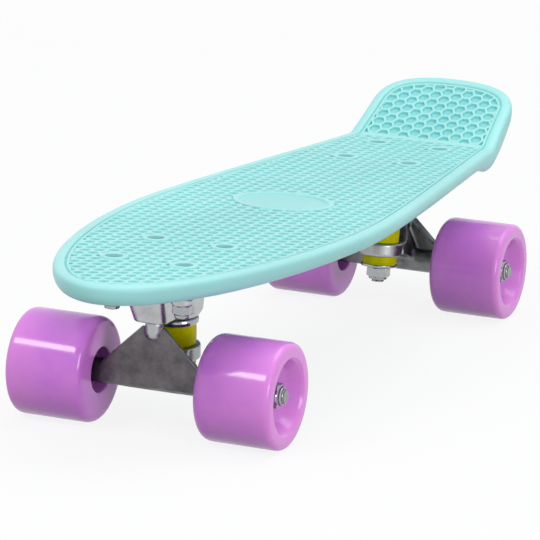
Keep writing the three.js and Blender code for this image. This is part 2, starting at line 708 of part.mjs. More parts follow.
function hangerSolid() {
  const half = [
    [plateApexHalfWidth, plateApexHeight], [plateShoulderHalfWidth, plateShoulderHeight],
    [armShoulderHalfWidth, armHalfHeight], [hangerHalfWidth, armHalfHeight],
    [hangerHalfWidth, -armHalfHeight],
  ];
  const face = [...half, ...[...half].reverse().map(([x, z]) => [-x, z])];
  const plate = plateBetween(polygonShape(face), plateFront - plateThickness, plateFront)
    .rotateX(Math.PI / 2);
  const section = roundedRectangle(-plateFront, armInboard, -armHalfHeight, armHalfHeight, armCorner);
  const arm = loft([hangerHalfWidth, -hangerHalfWidth].map((x) =>
    section.map(([y, z]) => new THREE.Vector3(x, y, z))));
  const neck = loft(neckShares.map((shares) => {
    const halfWidth = shares.halfWidth * ringRadius;
    const low = shares.low * ringHeight;
    const high = shares.high * plateApexHeight;
    return roundedRectangle(-halfWidth, halfWidth, low, high, neckCorner)
      .map(([x, z]) => new THREE.Vector3(x, shares.reach * kingpinReach, z));
  }));
  const gussetFoot = plateThickness - plateFront - weldDepth;
  const gussetShape = polygonShape([
    [gussetFoot, armHalfHeight + gussetHeight], [gussetFoot, 0], [armInboard - armCorner, 0],
    [armInboard - armCorner, armHalfHeight],
  ]);
  const gussets = [-1, 1].map((side) => plateBetween(gussetShape, -gussetThickness / 2, gussetThickness / 2)
    .rotateX(Math.PI / 2).rotateZ(Math.PI / 2).translate(side * gussetReach, 0, 0));
  const ring = inKingpin(turned([
    [0, -ringHalfHeight], [ringRadius, -ringHalfHeight], [ringRadius, ringHalfHeight], [0, ringHalfHeight],
  ]));
  const stem = new THREE.CapsuleGeometry(stemRadius, pivotHeight - stemFootHeight, stemCapSteps, turnedSides)
    .rotateX(Math.PI / 2).translate(0, -pivotReach, (pivotHeight + stemFootHeight) / 2);
  const axleHole = alongX(turned([
    [0, -hangerHalfWidth - cutOverrun], [axleRadius + seatGap, -hangerHalfWidth - cutOverrun],
    [axleRadius + seatGap, hangerHalfWidth + cutOverrun], [0, hangerHalfWidth + cutOverrun],
  ]));
  const ringBore = inKingpin(turned([
    [0, -ringHalfHeight - cutOverrun], [ringBoreRadius, -ringHalfHeight - cutOverrun],
    [ringBoreRadius, ringHalfHeight + cutOverrun], [0, ringHalfHeight + cutOverrun],
  ]));
  return cutBy(joined(plate, arm, neck, ...gussets, ring, stem), axleHole, ringBore);
}

// Baseplate, in the truck's frame

const cupTop = blockTipHeight + cupDepth;
const pivotAt = (geometry) => geometry.translate(0, -pivotReach, 0);

function baseplateSolid() {
  const flangeOutline = roundedRectangle(
    -flangeHalfWidth, flangeHalfWidth, flangeFront, flangeBack, flangeCorner,
  );
  const flange = plateBetween(polygonShape(flangeOutline), flangeBottom, baseTopHeight);
  const holes = [-1, 1].flatMap((side) => [-1, 1].map((end) =>
    [side * boltSpacingAcross / 2, boltShift + end * boltSpacingAlong / 2]));
  const outboard = holes.filter(([, y]) => y < boltShift);
  const bosses = outboard.map(([x, y]) => moved(turned([
    [0, 0], [nutBossRadius, 0], [nutBossRadius, nutBossHeight + weldDepth],
    [0, nutBossHeight + weldDepth],
  ], smallSides), x, y, flangeBottom - nutBossHeight));
  const { rootHalfWidth, rootFront, rootBack, tipHalfWidth, tipFront, tipBack, corner } = pivotBlock;
  const blockRings = [
    [tipHalfWidth - corner / 2, tipFront + corner / 2, tipBack - corner / 2, blockTipHeight],
    [tipHalfWidth, tipFront, tipBack, blockTipHeight + corner / 2],
    [rootHalfWidth, rootFront, rootBack, flangeBottom + weldDepth],
  ].map(([halfWidth, front, back, height]) => roundedRectangle(-halfWidth, halfWidth, front, back, corner)
    .map(([x, y]) => new THREE.Vector3(x, y, height)));
  const block = loft(blockRings.reverse());
  const housingRoot = baseTopHeight - ringHeight - flangeThickness / 2;
  const housing = inKingpin(turned([
    [0, housingTip], [housingTipRadius, housingTip],
    [housingShoulderRadius, housingTip + housingShoulderHeight], [housingRootRadius, housingRoot],
    [0, housingRoot],
  ]));
  const webOutline = roundedRectangle(
    -webHalfWidth, webHalfWidth, rootBack - corner * 2, kingpinReach, corner / 2,
  );
  const web = plateBetween(polygonShape(webOutline), flangeBottom - webHeight, flangeBottom + weldDepth);
  const holeFoot = flangeBottom - nutBossHeight - cutOverrun;
  const holeTop = baseTopHeight + cutOverrun;
  const boltHoles = holes.map(([x, y]) => moved(turned([
    [0, holeFoot], [boltHoleRadius, holeFoot], [boltHoleRadius, holeTop], [0, holeTop],
  ], smallSides), x, y, 0));
  const cupPocket = pivotAt(turned([
    [0, blockTipHeight - cutOverrun], [cupRadius + seatGap, blockTipHeight - cutOverrun],
    [cupRadius + seatGap, cupTop + seatGap], [0, cupTop + seatGap],
  ]));
  const kingpinHole = inKingpin(turned([
    [0, housingTip - cutOverrun], [kingpinRadius + seatGap, housingTip - cutOverrun],
    [kingpinRadius + seatGap, kingpinHeadRise + weldDepth], [0, kingpinHeadRise + weldDepth],
  ]));
  const headPocket = inKingpin(turned([
    [0, kingpinHeadRise - seatGap], [kingpinHeadFlats / Math.sqrt(3) + runGap, kingpinHeadRise - seatGap],
    [kingpinHeadFlats / Math.sqrt(3) + runGap, baseTopHeight], [0, baseTopHeight],
  ], hexSides));
  const solid = joined(flange, ...bosses, block, housing, web);
  return cutBy(solid, ...boltHoles, cupPocket, kingpinHole, headPocket);
}

function pivotCup() {
  const mouth = blockTipHeight + seatGap;
  const inner = cupRadius - cupWall;
  const crown = cupTop - cupWall;
  return pivotAt(turned([
    [0, cupTop], [cupRadius, cupTop], [cupRadius, mouth], [inner + cupMouthFlare, mouth],
    [inner, pivotHeight], [inner - cupWall, crown - cupWall], [inner / 2, crown], [0, crown],
  ]));
}

// Kingpin stack, in the kingpin's frame

const nutTop = -(ringHalfHeight + seatGap + bottomBushingHeight + seatGap + bottomWasherThickness + seatGap);
const kingpinEnd = nutTop - kingpinNutHeight - kingpinEndReach;

function kingpinBolt() {
  const head = turned([
    [0, kingpinHeadRise], [kingpinHeadFlats / Math.sqrt(3), kingpinHeadRise],
    [kingpinHeadFlats / Math.sqrt(3), kingpinHeadRise + kingpinHeadHeight],
    [0, kingpinHeadRise + kingpinHeadHeight],
  ], hexSides);
  const shank = turned([
    [0, kingpinEnd], [kingpinRadius - axleChamfer, kingpinEnd], [kingpinRadius, kingpinEnd + axleChamfer],
    [kingpinRadius, kingpinHeadRise + weldDepth], [0, kingpinHeadRise + weldDepth],
  ]);
  return inKingpin(toGeometry(joined(head, shank)));
}

// A bushing with its bore, its broad barrel and the spigot that sits in the ring. It is made with
// the ring's face at height zero and the barrel above it.
function bushingProfile(height, farRadius, waist) {
  const bore = kingpinRadius + seatGap;
  return [
    [bore, -spigotLength], [spigotRadius, -spigotLength], [spigotRadius, 0], [bushingRadius, 0],
    [(bushingRadius + farRadius) / 2 - waist, height / 2], [farRadius, height], [bore, height],
  ];
}

// A cup washer with its flat on top and its skirt hanging round the bushing's end
function washerProfile(radius, thickness, skirt) {
  const bore = kingpinRadius + seatGap;
  return [
    [bore, 0], [radius - thickness / 2, 0], [radius, -thickness / 2], [radius, -thickness - skirt],
    [radius - washerSkirtWall, -thickness - skirt], [radius - washerSkirtWall, -thickness],
    [bore, -thickness],
  ];
}

function kingpinStack(truck, prefix) {
  const bushingFoot = ringHalfHeight + seatGap;
  const topRadius = bushingRadius - seatGap * 2;
  const lowRadius = bushingRadius - bottomBushingTaper;
  addPiece(truck, `${prefix}_top_bushing`, inKingpin(
    turned(bushingProfile(topBushingHeight, topRadius, bushingWaist)).translate(0, 0, bushingFoot),
  ), bushingUrethane);
  addPiece(truck, `${prefix}_bottom_bushing`, inKingpin(
    turned(bushingProfile(bottomBushingHeight, lowRadius, 0)).rotateX(Math.PI).translate(0, 0, -bushingFoot),
  ), bushingUrethane);
  addPiece(truck, `${prefix}_top_washer`, inKingpin(
    turned(washerProfile(topWasherRadius, washerThickness, washerSkirt)).translate(0, 0, washerTop),
  ), brightSteel);
  addPiece(truck, `${prefix}_bottom_washer`, inKingpin(
    turned(washerProfile(bottomWasherRadius, bottomWasherThickness, bottomWasherSkirt))
      .rotateX(Math.PI).translate(0, 0, nutTop + seatGap),
  ), brightSteel);
  addPiece(truck, `${prefix}_kingpin`, kingpinBolt(), zincSteel);
  addPiece(truck, `${prefix}_kingpin_nut`, inKingpin(
    nut(kingpinNutFlats, kingpinNutHeight, nutChamfer, kingpinNutFlats / 2 - nutChamfer, 0,
      kingpinRadius + seatGap).rotateX(Math.PI).translate(0, 0, nutTop),
  ), brightSteel);
}

// Assembly

addPiece(board, 'deck', toGeometry(deckSolid()), deckPlastic);

const hanger = toGeometry(hangerSolid());
const baseplate = toGeometry(baseplateSolid());

for (const [prefix, end] of [['front', -1], ['rear', 1]]) {
  const truck = new THREE.Group();
  truck.position.set(0, end * halfBase, wheelRadius);
  truck.rotation.z = end < 0 ? 0 : Math.PI;
  board.add(truck);
  addPiece(truck, `${prefix}_baseplate`, baseplate, castAluminium);
  addPiece(truck, `${prefix}_pivot_cup`, pivotCup(), pivotPlastic);
  addPiece(truck, `${prefix}_hanger`, hanger, castAluminium);
  addPiece(truck, `${prefix}_axle`, axleRod(), zincSteel);
  kingpinStack(truck, prefix);

  for (const [side, hand] of [['left', 1], ['right', -1]]) {
    const corner = new THREE.Group();
    corner.position.set(hand * halfTrack, end * halfBase, wheelRadius);
    corner.rotation.z = hand < 0 ? Math.PI : 0;
    board.add(corner);
    const label = `${prefix}_${side}`;
    addPiece(corner, `${label}_wheel`, alongX(turned(wheelProfile(), wheelSides)), wheelUrethane);
    const innerBearing = turned(bearingProfile(innerBearingEnd, bearingInboard), bearingSides);
    const outerBearing = turned(bearingProfile(outerBearingStart, bearingOutboard), bearingSides);
    addPiece(corner, `${label}_inner_bearing`, alongX(innerBearing), bearingSteel);
    addPiece(corner, `${label}_outer_bearing`, alongX(outerBearing), bearingSteel);
    addPiece(corner, `${label}_axle_sleeve`, alongX(turned(sleeveProfile(), bearingSides)), brightSteel);
    addPiece(corner, `${label}_axle_nut`, alongX(
      nut(axleNutFlats, axleNutWidth, nutChamfer, axleNutCollarRadius, axleNutCollarWidth,
        axleRadius + seatGap).translate(0, 0, nutStart),
    ), zincSteel);
  }
}

boltPlaces.forEach(({ x, y, nutSeat }, index) => {
  addPiece(board, `deck_bolt_${index + 1}`, moved(deckBolt(nutSeat), x, y, 0), zincSteel);
  addPiece(board, `deck_nut_${index + 1}`, moved(deckNut(nutSeat), x, y, 0), brightSteel);
});

// The origin goes under the middle of the length
const reach = new THREE.Box3().setFromObject(board);
board.position.y = -(reach.min.y + reach.max.y) / 2;

export default board;
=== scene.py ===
"""Looks of a plastic cruiser skateboard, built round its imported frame.

Lengths in the shape functions are millimetres in the frame's own axes: X across the board, -Y towards
the nose, +Y towards the kick tail, +Z up from the floor. Meshes are written in metres.
"""

import math
import bmesh
import bpy
import numpy as np
from bpy.props import FloatProperty, FloatVectorProperty, IntProperty, PointerProperty
from mathutils import Matrix, Vector


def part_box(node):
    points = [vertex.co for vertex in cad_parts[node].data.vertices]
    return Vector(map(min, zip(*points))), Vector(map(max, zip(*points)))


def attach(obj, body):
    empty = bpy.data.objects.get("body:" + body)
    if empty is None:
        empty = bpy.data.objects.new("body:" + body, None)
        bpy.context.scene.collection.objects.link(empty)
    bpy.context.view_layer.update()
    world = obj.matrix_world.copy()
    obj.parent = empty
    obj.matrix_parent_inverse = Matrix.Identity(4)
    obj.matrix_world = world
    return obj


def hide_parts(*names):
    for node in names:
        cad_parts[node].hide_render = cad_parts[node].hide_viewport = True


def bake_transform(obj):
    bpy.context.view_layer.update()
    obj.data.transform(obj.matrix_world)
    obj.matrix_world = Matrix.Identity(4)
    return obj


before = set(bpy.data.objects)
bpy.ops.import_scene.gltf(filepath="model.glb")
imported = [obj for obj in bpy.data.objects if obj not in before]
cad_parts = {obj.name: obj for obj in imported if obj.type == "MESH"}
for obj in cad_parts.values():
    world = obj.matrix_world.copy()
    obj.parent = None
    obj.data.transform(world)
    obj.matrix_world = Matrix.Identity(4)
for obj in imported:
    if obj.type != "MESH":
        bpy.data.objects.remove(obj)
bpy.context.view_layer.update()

bl_info = {
    "name": "Cruiser skateboard",
    "version": (1, 0, 0),
    "blender": (4, 5, 0),
    "location": "3D View > Sidebar > Skateboard",
    "description": "Builds the deck, trucks and wheels of a plastic cruiser skateboard",
    "category": "Add Mesh",
}

MM = 0.001


def node_centre(node):
    """Middle of a frame node's box, in millimetres."""
    low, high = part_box(node)
    return np.array((low + high) / 2) / MM


FRONT_AXLE = node_centre("front_axle")
REAR_AXLE = node_centre("rear_axle")
MID_BOARD = (FRONT_AXLE[1] + REAR_AXLE[1]) / 2
HALF_BASE = (REAR_AXLE[1] - FRONT_AXLE[1]) / 2
WHEEL_OFFSET = node_centre("front_left_wheel")[0]
ENDS = {"front": -1, "rear": 1}
SIDES = {"left": 1, "right": -1}


# Colour


def srgb(code):
    """Turns an sRGB hex colour into the linear RGBA that a shader socket takes."""
    parts = np.array([int(code[i:i + 2], 16) for i in (1, 3, 5)]) / 255
    linear = np.where(parts <= 0.04045, parts / 12.92, ((parts + 0.055) / 1.055) ** 2.4)
    return (*(float(v) for v in linear), 1.0)


def colour_property(name, description, code):
    """A colour setting whose default is an sRGB hex value."""
    return FloatVectorProperty(name=name, description=description, subtype="COLOR", size=4,
                               min=0, max=1, default=srgb(code))


def length_property(name, description, millimetres):
    """A length setting, kept in metres."""
    return FloatProperty(name=name, description=description, unit="LENGTH", default=millimetres * MM)


# Settings


class DeckSettings(bpy.types.PropertyGroup):
    """Sizes and colour of the moulded deck."""

    crown: length_property("Crown height", "Floor to the crown of the deck's rim", 98)
    nose: length_property("Nose reach", "Mid wheelbase to the tip of the nose", 263.6)
    half_width: length_property("Half width", "Half of the deck's width where it is widest", 75.4)
    kick_start: length_property("Kick start", "Mid wheelbase to the fold of the kick tail", 215.4)
    kick_length: length_property("Kick length", "Fold to the end of the tail, along the slope", 65.3)
    kick_angle: FloatProperty(name="Kick angle", description="Slope of the kick tail",
                              subtype="ANGLE", default=math.radians(29))
    cell_pitch: length_property("Cell pitch", "Spacing of the honeycomb tread", 7.88)
    colour: colour_property("Colour", "Mint of the moulded plastic", "#AAE9E7")


class WheelSettings(bpy.types.PropertyGroup):
    """Sizes and colours of the cast wheels."""

    radius: length_property("Radius", "Radius of the running surface", 29.5)
    width: length_property("Width", "Width of a wheel", 45)
    dish: length_property("Dish radius", "Radius of the lip round the outer dish", 21.6)
    sides: IntProperty(name="Sides", description="Steps round a wheel", default=112, min=24, max=240)
    colour: colour_property("Violet", "Violet of the thick rubber", "#DC7FEA")
    # Pink of the rubber's clouding, and of the painted glow at the outboard lip
    lip_glow_and_cloud_colour: colour_property("Pink", "Pink of the thin rubber at the lips", "#EC90EA")


class TruckSettings(bpy.types.PropertyGroup):
    """Sizes and colours of the trucks."""

    grain: length_property("Grain", "Grid step of the cast pieces", 0.7)
    kingpin_tilt: FloatProperty(name="Kingpin tilt", description="Lean of the kingpin from upright",
                                subtype="ANGLE", default=math.radians(5.5))
    metal: colour_property("Metal", "Polished casting of the baseplates", "#C2C5C6")
    # Painted reflection: this dark grey is painted on the hangers' front faces for the dark surroundings they
    # reflect
    face: colour_property("Face", "Dark face of the hangers, as it left the mould", "#605C5F")
    bushing: colour_property("Bushing", "Yellow of the bushings", "#DAD500")


class StageSettings(bpy.types.PropertyGroup):
    """Floor, light and camera."""

    focal_pixels: FloatProperty(name="Focal length in pixels",
                                description="Solved from the photograph, in a frame 540 pixels wide",
                                default=3916.36)
    azimuth: FloatProperty(name="Azimuth", description="Camera's bearing", subtype="ANGLE",
                           default=math.radians(22.46))
    elevation: FloatProperty(name="Elevation", description="Camera's height angle", subtype="ANGLE",
                             default=math.radians(12.76))
    roll: FloatProperty(name="Roll", description="Camera's roll", subtype="ANGLE",
                        default=math.radians(2.39))
    floor: colour_property("Floor", "Pale floor", "#F4F4F4")


# Materials


RAMP, MATHS, MIX, RANGE = "ShaderNodeValToRGB", "ShaderNodeMath", "ShaderNodeMix", "ShaderNodeMapRange"


def add_node(tree, kind, sockets=None, output=0, stops=(), **settings):
    """Adds one shader node and gives back one of its outputs. Sockets are values or links to its
    inputs, settings are its own fields, and stops are a ramp's (position, colour), where a plain
    number stands for a grey."""
    node = tree.nodes.new(kind)
    for field, value in settings.items():
        setattr(node, field, value)
    for socket, value in (sockets or {}).items():
        if isinstance(value, bpy.types.NodeSocket):
            tree.links.new(value, node.inputs[socket])
        else:
            node.inputs[socket].default_value = value
    for index, (position, value) in enumerate(stops):
        if index > 1:
            node.color_ramp.elements.new(position)
        element = node.color_ramp.elements[index]
        element.position = position
        element.color = value if isinstance(value, tuple) else (value, value, value, 1)
    return node.outputs[output] if len(node.outputs) else None


def new_material(name, sockets):
    """A material with one Principled shader; returns it, its node tree and the shader."""
    material = bpy.data.materials.new(name)
    material.use_nodes = True
    tree = material.node_tree
    tree.nodes.clear()
    shader = add_node(tree, "ShaderNodeBsdfPrincipled", sockets)
    add_node(tree, "ShaderNodeOutputMaterial", {"Surface": shader})
    return material, tree, shader.node


def speckle(tree, millimetres, detail=2, roughness=0.5, stretch=(1, 1, 1)):
    """A noise pattern on Object coordinates, whose features are this many real millimetres apart;
    stretch squeezes an axis."""
    place = add_node(tree, "ShaderNodeTexCoord", output="Object")
    return add_node(tree, "ShaderNodeTexNoise", {
        "Vector": add_node(tree, "ShaderNodeMapping", {"Vector": place, "Scale": stretch}),
        "Scale": 1 / (millimetres * MM), "Detail": detail, "Roughness": roughness})


def object_axis(tree, axis):
    """One of the Object coordinates, in metres."""
    place = add_node(tree, "ShaderNodeTexCoord", output="Object")
    return add_node(tree, "ShaderNodeSeparateXYZ", {"Vector": place}, axis)


def surface(shader, tone, gloss, relief=None):
    """Drives a shader's colour and roughness, each by a socket or by a pattern and its stops, and its
    relief by a pattern, a strength and a real depth in millimetres."""
    tree = shader.id_data
    for socket, source in (("Base Color", tone), ("Roughness", gloss)):
        if isinstance(source, tuple):
            source = add_node(tree, RAMP, {"Fac": source[0]}, stops=source[1:])
        tree.links.new(source, shader.inputs[socket])
    if relief:
        pattern, strength, depth = relief
        normal = add_node(tree, "ShaderNodeBump", {
            "Height": pattern, "Strength": strength, "Distance": depth * MM})
        tree.links.new(normal, shader.inputs["Normal"])


def scaled(colour, factor):
    """A colour made darker or lighter."""
    return (*(min(c * factor, 1) for c in colour[:3]), 1)


def polypropylene_moulded(colour):
    """Deck: injection-moulded polypropylene. Satin, slightly waxy, with a faint flow mottle, a fine
    spark-eroded grain and a few duller patches where it has been handled. The tread's pockets, given
    by the recess attribute, carry painted shade: their floors are painted a deeper teal."""
    material, tree, shader = new_material("polypropylene_moulded_mint", {
        "IOR": 1.49, "Specular IOR Level": 0.3, "Subsurface Weight": 0.12, "Subsurface Scale": 0.004,
        "Subsurface Radius": (0.6, 1.0, 0.95),
    })
    flow = add_node(tree, RAMP, {"Fac": speckle(tree, 70, 3, 0.55, (1, 0.4, 1))},
                    stops=[(0.3, scaled(colour, 0.94)), (0.7, scaled(colour, 1.04))])
    # Painted shade: the recess attribute paints the floors of the tread's pockets and the oval plate towards
    # a deeper teal, where shade would fall
    recess = add_node(tree, "ShaderNodeAttribute", output="Fac", attribute_name="recess")
    depth = add_node(tree, MATHS, {0: recess, 1: 0.5}, operation="MULTIPLY", use_clamp=True)
    tone = add_node(tree, MIX, {0: depth, 6: flow, 7: srgb("#68C8CB")}, 2, data_type="RGBA")
    # Real grain is about 0.1 mm; drawn at 0.5 mm so that it shows
    surface(shader, tone, (speckle(tree, 22, 4, 0.6), (0.35, 0.36), (0.7, 0.48)),
            (speckle(tree, 0.5), 0.25, 0.02))
    return material


def polyurethane_cast_wheel(violet, pink):
    """Wheels: cast polyurethane, deep and slightly see-through, with a smooth, glossy moulded skin and faint
    clouding. The outboard half is painted pinker towards its lip, a painted glow for light through thin
    rubber."""
    material, tree, shader = new_material("polyurethane_cast_violet", {
        "IOR": 1.5, "Subsurface Weight": 0.22, "Subsurface Scale": 0.006,
        "Subsurface Radius": (1.0, 0.45, 0.9),
    })
    # Painted glow: across the outboard half the violet is painted lighter pink up to the lip, standing in for
    # light passing through the thin rubber
    across = add_node(tree, MATHS, {0: object_axis(tree, "X")}, operation="ABSOLUTE")
    middle = WHEEL_OFFSET * MM
    half = bpy.context.scene.skateboard_wheel.width / 2
    lip_range = {"From Min": middle + half * 0.05, "From Max": middle + half}
    reach = add_node(tree, RANGE, {"Value": across, **lip_range})
    lip = add_node(tree, RAMP, {"Fac": reach}, stops=[(0.0, 0.0), (0.55, 0.35), (1.0, 1.0)])
    cloud = add_node(tree, RAMP, {"Fac": speckle(tree, 18, 3, 0.6)}, stops=[(0.32, 0.0), (0.68, 0.6)])
    tone = violet
    for share in (lip, cloud):
        tone = add_node(tree, MIX, {0: share, 6: tone, 7: pink}, 2, data_type="RGBA")
    surface(shader, tone, (speckle(tree, 30, 4, 0.65), (0.35, 0.12), (0.75, 0.2)),
            (speckle(tree, 6), 0.12, 0.05))
    return material


def polyurethane_cast_bushing(colour):
    """Bushings: softer cast polyurethane, yellow and cloudy, with a satin skin."""
    material, tree, shader = new_material("polyurethane_cast_yellow", {
        "IOR": 1.5, "Specular IOR Level": 0.1, "Subsurface Weight": 0.25, "Subsurface Scale": 0.004,
        "Subsurface Radius": (1.0, 0.9, 0.2),
    })
    cloud = speckle(tree, 5, 3)
    surface(shader, (cloud, (0.3, scaled(colour, 0.85)), (0.7, scaled(colour, 1.08))),
            (cloud, (0.3, 0.3), (0.7, 0.42)))
    return material


def aluminium_cast_polished(colour):
    """Baseplates: gravity-cast aluminium, tumbled and polished. A smooth pale grey with faint cloudy
    patches and shallow casting dimples."""
    material, tree, shader = new_material("aluminium_cast_polished", {"Metallic": 1.0})
    surface(shader, (speckle(tree, 9, 4, 0.6), (0.3, scaled(colour, 0.8)), (0.66, scaled(colour, 1.0))),
            *cast_skin(tree, 0.22, 0.4, 0.4))
    return material


def aluminium_cast_tumbled(colour, face):
    """Hangers: the same casting, tumbled only. A dull grey with darker clouds, paler on the bushing
    ring. The plate's face is painted a dark speckled grey, a painted reflection of the dark room in
    front of it, and the stem that stands proud of it is rubbed bright."""
    material, tree, shader = new_material("aluminium_cast_tumbled", {"Metallic": 1.0})
    cloud = speckle(tree, 7, 4, 0.6)
    dull, pale = (add_node(tree, RAMP, {"Fac": cloud},
                           stops=[(0.3, scaled(colour, low)), (0.68, scaled(colour, high))])
                  for low, high in ((0.18, 0.4), (0.55, 0.85)))
    # Painted reflection: the plate's front face is painted a dark speckled grey with lighter sheen patches,
    # standing in for the dark surroundings it would reflect
    painted_dark_reflection = add_node(tree, RAMP, {"Fac": speckle(tree, 16, 7, 0.72)},
                          stops=[(0.36, scaled(face, 0.7)), (0.66, scaled(face, 1.45))])
    along = add_node(tree, MATHS, {0: object_axis(tree, "Y"), 1: MID_BOARD * MM}, operation="SUBTRACT")
    reach = add_node(tree, MATHS, {0: along}, operation="ABSOLUTE")
    edge = (HALF_BASE + HANGER_FACE) * MM
    slack = 0.25 * MM
    # The bushing ring lies over 9 mm inboard of the axle; the two tones fade into one another there
    outboard = add_node(tree, RANGE, {
        "Value": reach, "From Min": (HALF_BASE - 16) * MM, "From Max": (HALF_BASE - 9) * MM})
    dark_reflection_mask = add_node(tree, MATHS, {0: reach, 1: edge, 2: slack}, operation="COMPARE")
    proud = add_node(tree, MATHS, {0: reach, 1: edge + slack}, operation="GREATER_THAN")
    tone = pale
    for share, other in ((outboard, dull), (dark_reflection_mask, painted_dark_reflection), (proud, scaled(colour, 0.8))):
        tone = add_node(tree, MIX, {0: share, 6: tone, 7: other}, 2, data_type="RGBA")
    surface(shader, tone, *cast_skin(tree, 0.26, 0.46, 0.5))
    return material


def cast_skin(tree, low, high, strength):
    """Gloss and relief of cast metal after tumbling: small glossier patches and shallow dimples."""
    return ((speckle(tree, 3.5, 4, 0.65), (0.3, low), (0.72, high)),
            (speckle(tree, 2.2, 3, 0.6), strength, 0.1))


def steel_plated(name, colour, low, high, grain_mm):
    """Plated steel: a thin bright layer over turned or pressed steel, with faint turning marks."""
    material, tree, shader = new_material(name, {"Metallic": 1.0})
    patches = speckle(tree, grain_mm * 4, 3)
    surface(shader, (patches, (0.3, scaled(colour, 0.86)), (0.7, colour)),
            (patches, (0.3, low), (0.7, high)), (speckle(tree, grain_mm), 0.2, 0.02))
    return material


def urethane_pivot():
    """Pivot cups: black moulded urethane, matt, with a little dust."""
    material, tree, shader = new_material("urethane_moulded_black", {"IOR": 1.5})
    dust = speckle(tree, 2, 3)
    surface(shader, (dust, (0.4, srgb("#1C1C1E")), (0.8, srgb("#3A3A3C"))), (dust, (0.3, 0.5), (0.7, 0.7)))
    return material


def nylon_insert():
    """Locking ring in the nuts: off-white nylon, waxy."""
    material, tree, shader = new_material(
        "nylon_moulded_white", {"IOR": 1.53, "Subsurface Weight": 0.1, "Subsurface Scale": 0.001})
    tint = speckle(tree, 1.5)
    surface(shader, (tint, (0.3, srgb("#C9CDC6")), (0.7, srgb("#DDDFD8"))), (tint, (0.3, 0.4), (0.7, 0.5)))
    return material


def finishes():
    """Each finish: the record's material slot, its maker and what the maker takes."""
    scene = bpy.context.scene
    wheel, truck = scene.skateboard_wheel, scene.skateboard_truck
    return {
        "deck": ("deck_plastic", polypropylene_moulded, scene.skateboard_deck.colour),
        "wheel": ("wheel_urethane", polyurethane_cast_wheel, wheel.colour, wheel.lip_glow_and_cloud_colour),
        "bushing": ("bushing_urethane", polyurethane_cast_bushing, truck.bushing),
        "casting": ("cast_aluminium", aluminium_cast_polished, truck.metal),
        "hanger": ("cast_aluminium", aluminium_cast_tumbled, truck.metal, truck.face),
        "nickel": ("bright_steel", steel_plated, "steel_nickel_plated", srgb("#A9ACAE"), 0.07, 0.16, 0.6),
        "zinc": ("zinc_steel", steel_plated, "steel_zinc_plated", srgb("#969A9B"), 0.22, 0.36, 0.5),
        "ground": ("bearing_steel", steel_plated, "steel_ground", srgb("#8C8F92"), 0.2, 0.34, 0.4),
        "pivot": ("pivot_plastic", urethane_pivot),
        "nylon": ("pivot_plastic", nylon_insert),
    }


MATERIALS = {}


# Meshes


def grid_faces(rows, columns, close_rows, close_columns):
    """Quads of a grid of points, row by row; either direction can close on itself."""
    row, column = np.meshgrid(np.arange(rows if close_rows else rows - 1),
                              np.arange(columns if close_columns else columns - 1), indexing="ij")
    next_row = (row + 1) % rows
    next_column = (column + 1) % columns
    quads = np.stack([row * columns + column, row * columns + next_column,
                      next_row * columns + next_column, next_row * columns + column], axis=-1)
    return quads.reshape(-1, 4)


def make_mesh(name, shells):
    """One mesh from shells of (points in mm, face array). Doubles are merged, so seams and poles
    close, and the normals are turned outwards."""
    mesh = bpy.data.meshes.new(name)
    points, faces, start = [], [], 0
    for shell_points, shell_faces in shells:
        points.append(np.asarray(shell_points, float).reshape(-1, 3))
        faces.extend((np.asarray(shell_faces) + start).tolist())
        start += len(points[-1])
    mesh.from_pydata((np.concatenate(points) * MM).tolist(), [], faces)
    work = bmesh.new()
    work.from_mesh(mesh)
    bmesh.ops.remove_doubles(work, verts=work.verts, dist=1e-6)
    loose = [edge for edge in work.edges if not edge.link_faces]
    bmesh.ops.delete(work, geom=loose, context="EDGES")
    bmesh.ops.recalc_face_normals(work, faces=work.faces)
    work.to_mesh(mesh)
    work.free()
    return mesh


def dress(mesh, name, finish, body, nodes=(), crease=32):
    """Shows a mesh as a piece: finish, shading, the body it rides on and the nodes it stands for. A
    piece that bends between two bodies rides on none here."""
    slot, maker, *settings = finishes()[finish]
    if finish not in MATERIALS:
        MATERIALS[finish] = maker(*settings)
    mesh.materials.clear()
    mesh.materials.append(MATERIALS[finish])
    mesh.shade_smooth()
    mesh.set_sharp_from_angle(angle=math.radians(crease))
    piece = bpy.data.objects.new(name, mesh)
    bpy.context.scene.collection.objects.link(piece)
    if body:
        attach(piece, body)
    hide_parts(*nodes)
    return piece


def rounded(corners, steps=5):
    """A profile whose corners are (across, along, radius). Each corner becomes a quadratic curve that
    leaves both of its edges at radius / tan(half angle), and never past the middle of an edge."""
    table = np.array(corners, float)
    point = table[:, :2]
    before = np.roll(point, 1, axis=0) - point
    after = np.roll(point, -1, axis=0) - point
    long_before = np.maximum(np.linalg.norm(before, axis=1), 1e-9)
    long_after = np.maximum(np.linalg.norm(after, axis=1), 1e-9)
    cosine = np.sum(before * after, axis=1) / (long_before * long_after)
    half = np.maximum(np.arccos(np.clip(cosine, -1, 1)) / 2, 1e-3)
    cut = np.minimum(table[:, 2] / np.tan(half), 0.5 * np.minimum(long_before, long_after))
    cut = np.where(table[:, 2] > 0, cut, 0)
    start = point + before * (cut / long_before)[:, None]
    end = point + after * (cut / long_after)[:, None]
    t = np.linspace(0, 1, steps)[None, :, None]
    curve = (1 - t) ** 2 * start[:, None] + 2 * t * (1 - t) * point[:, None] + t ** 2 * end[:, None]
    flat = curve.reshape(-1, 2)
    keep = np.r_[True, np.linalg.norm(np.diff(flat, axis=0), axis=1) > 1e-5]
    return flat[keep]


def angles(sides):
    """Even angles of one turn."""
    return np.arange(sides) * 2 * math.pi / sides


def around(reach, height):
    """Points about +Z from a radius for each height and angle."""
    angle = angles(reach.shape[1])
    return np.stack([reach * np.cos(angle), reach * np.sin(angle),
                     np.repeat(height[:, None], len(angle), axis=1)], axis=-1)


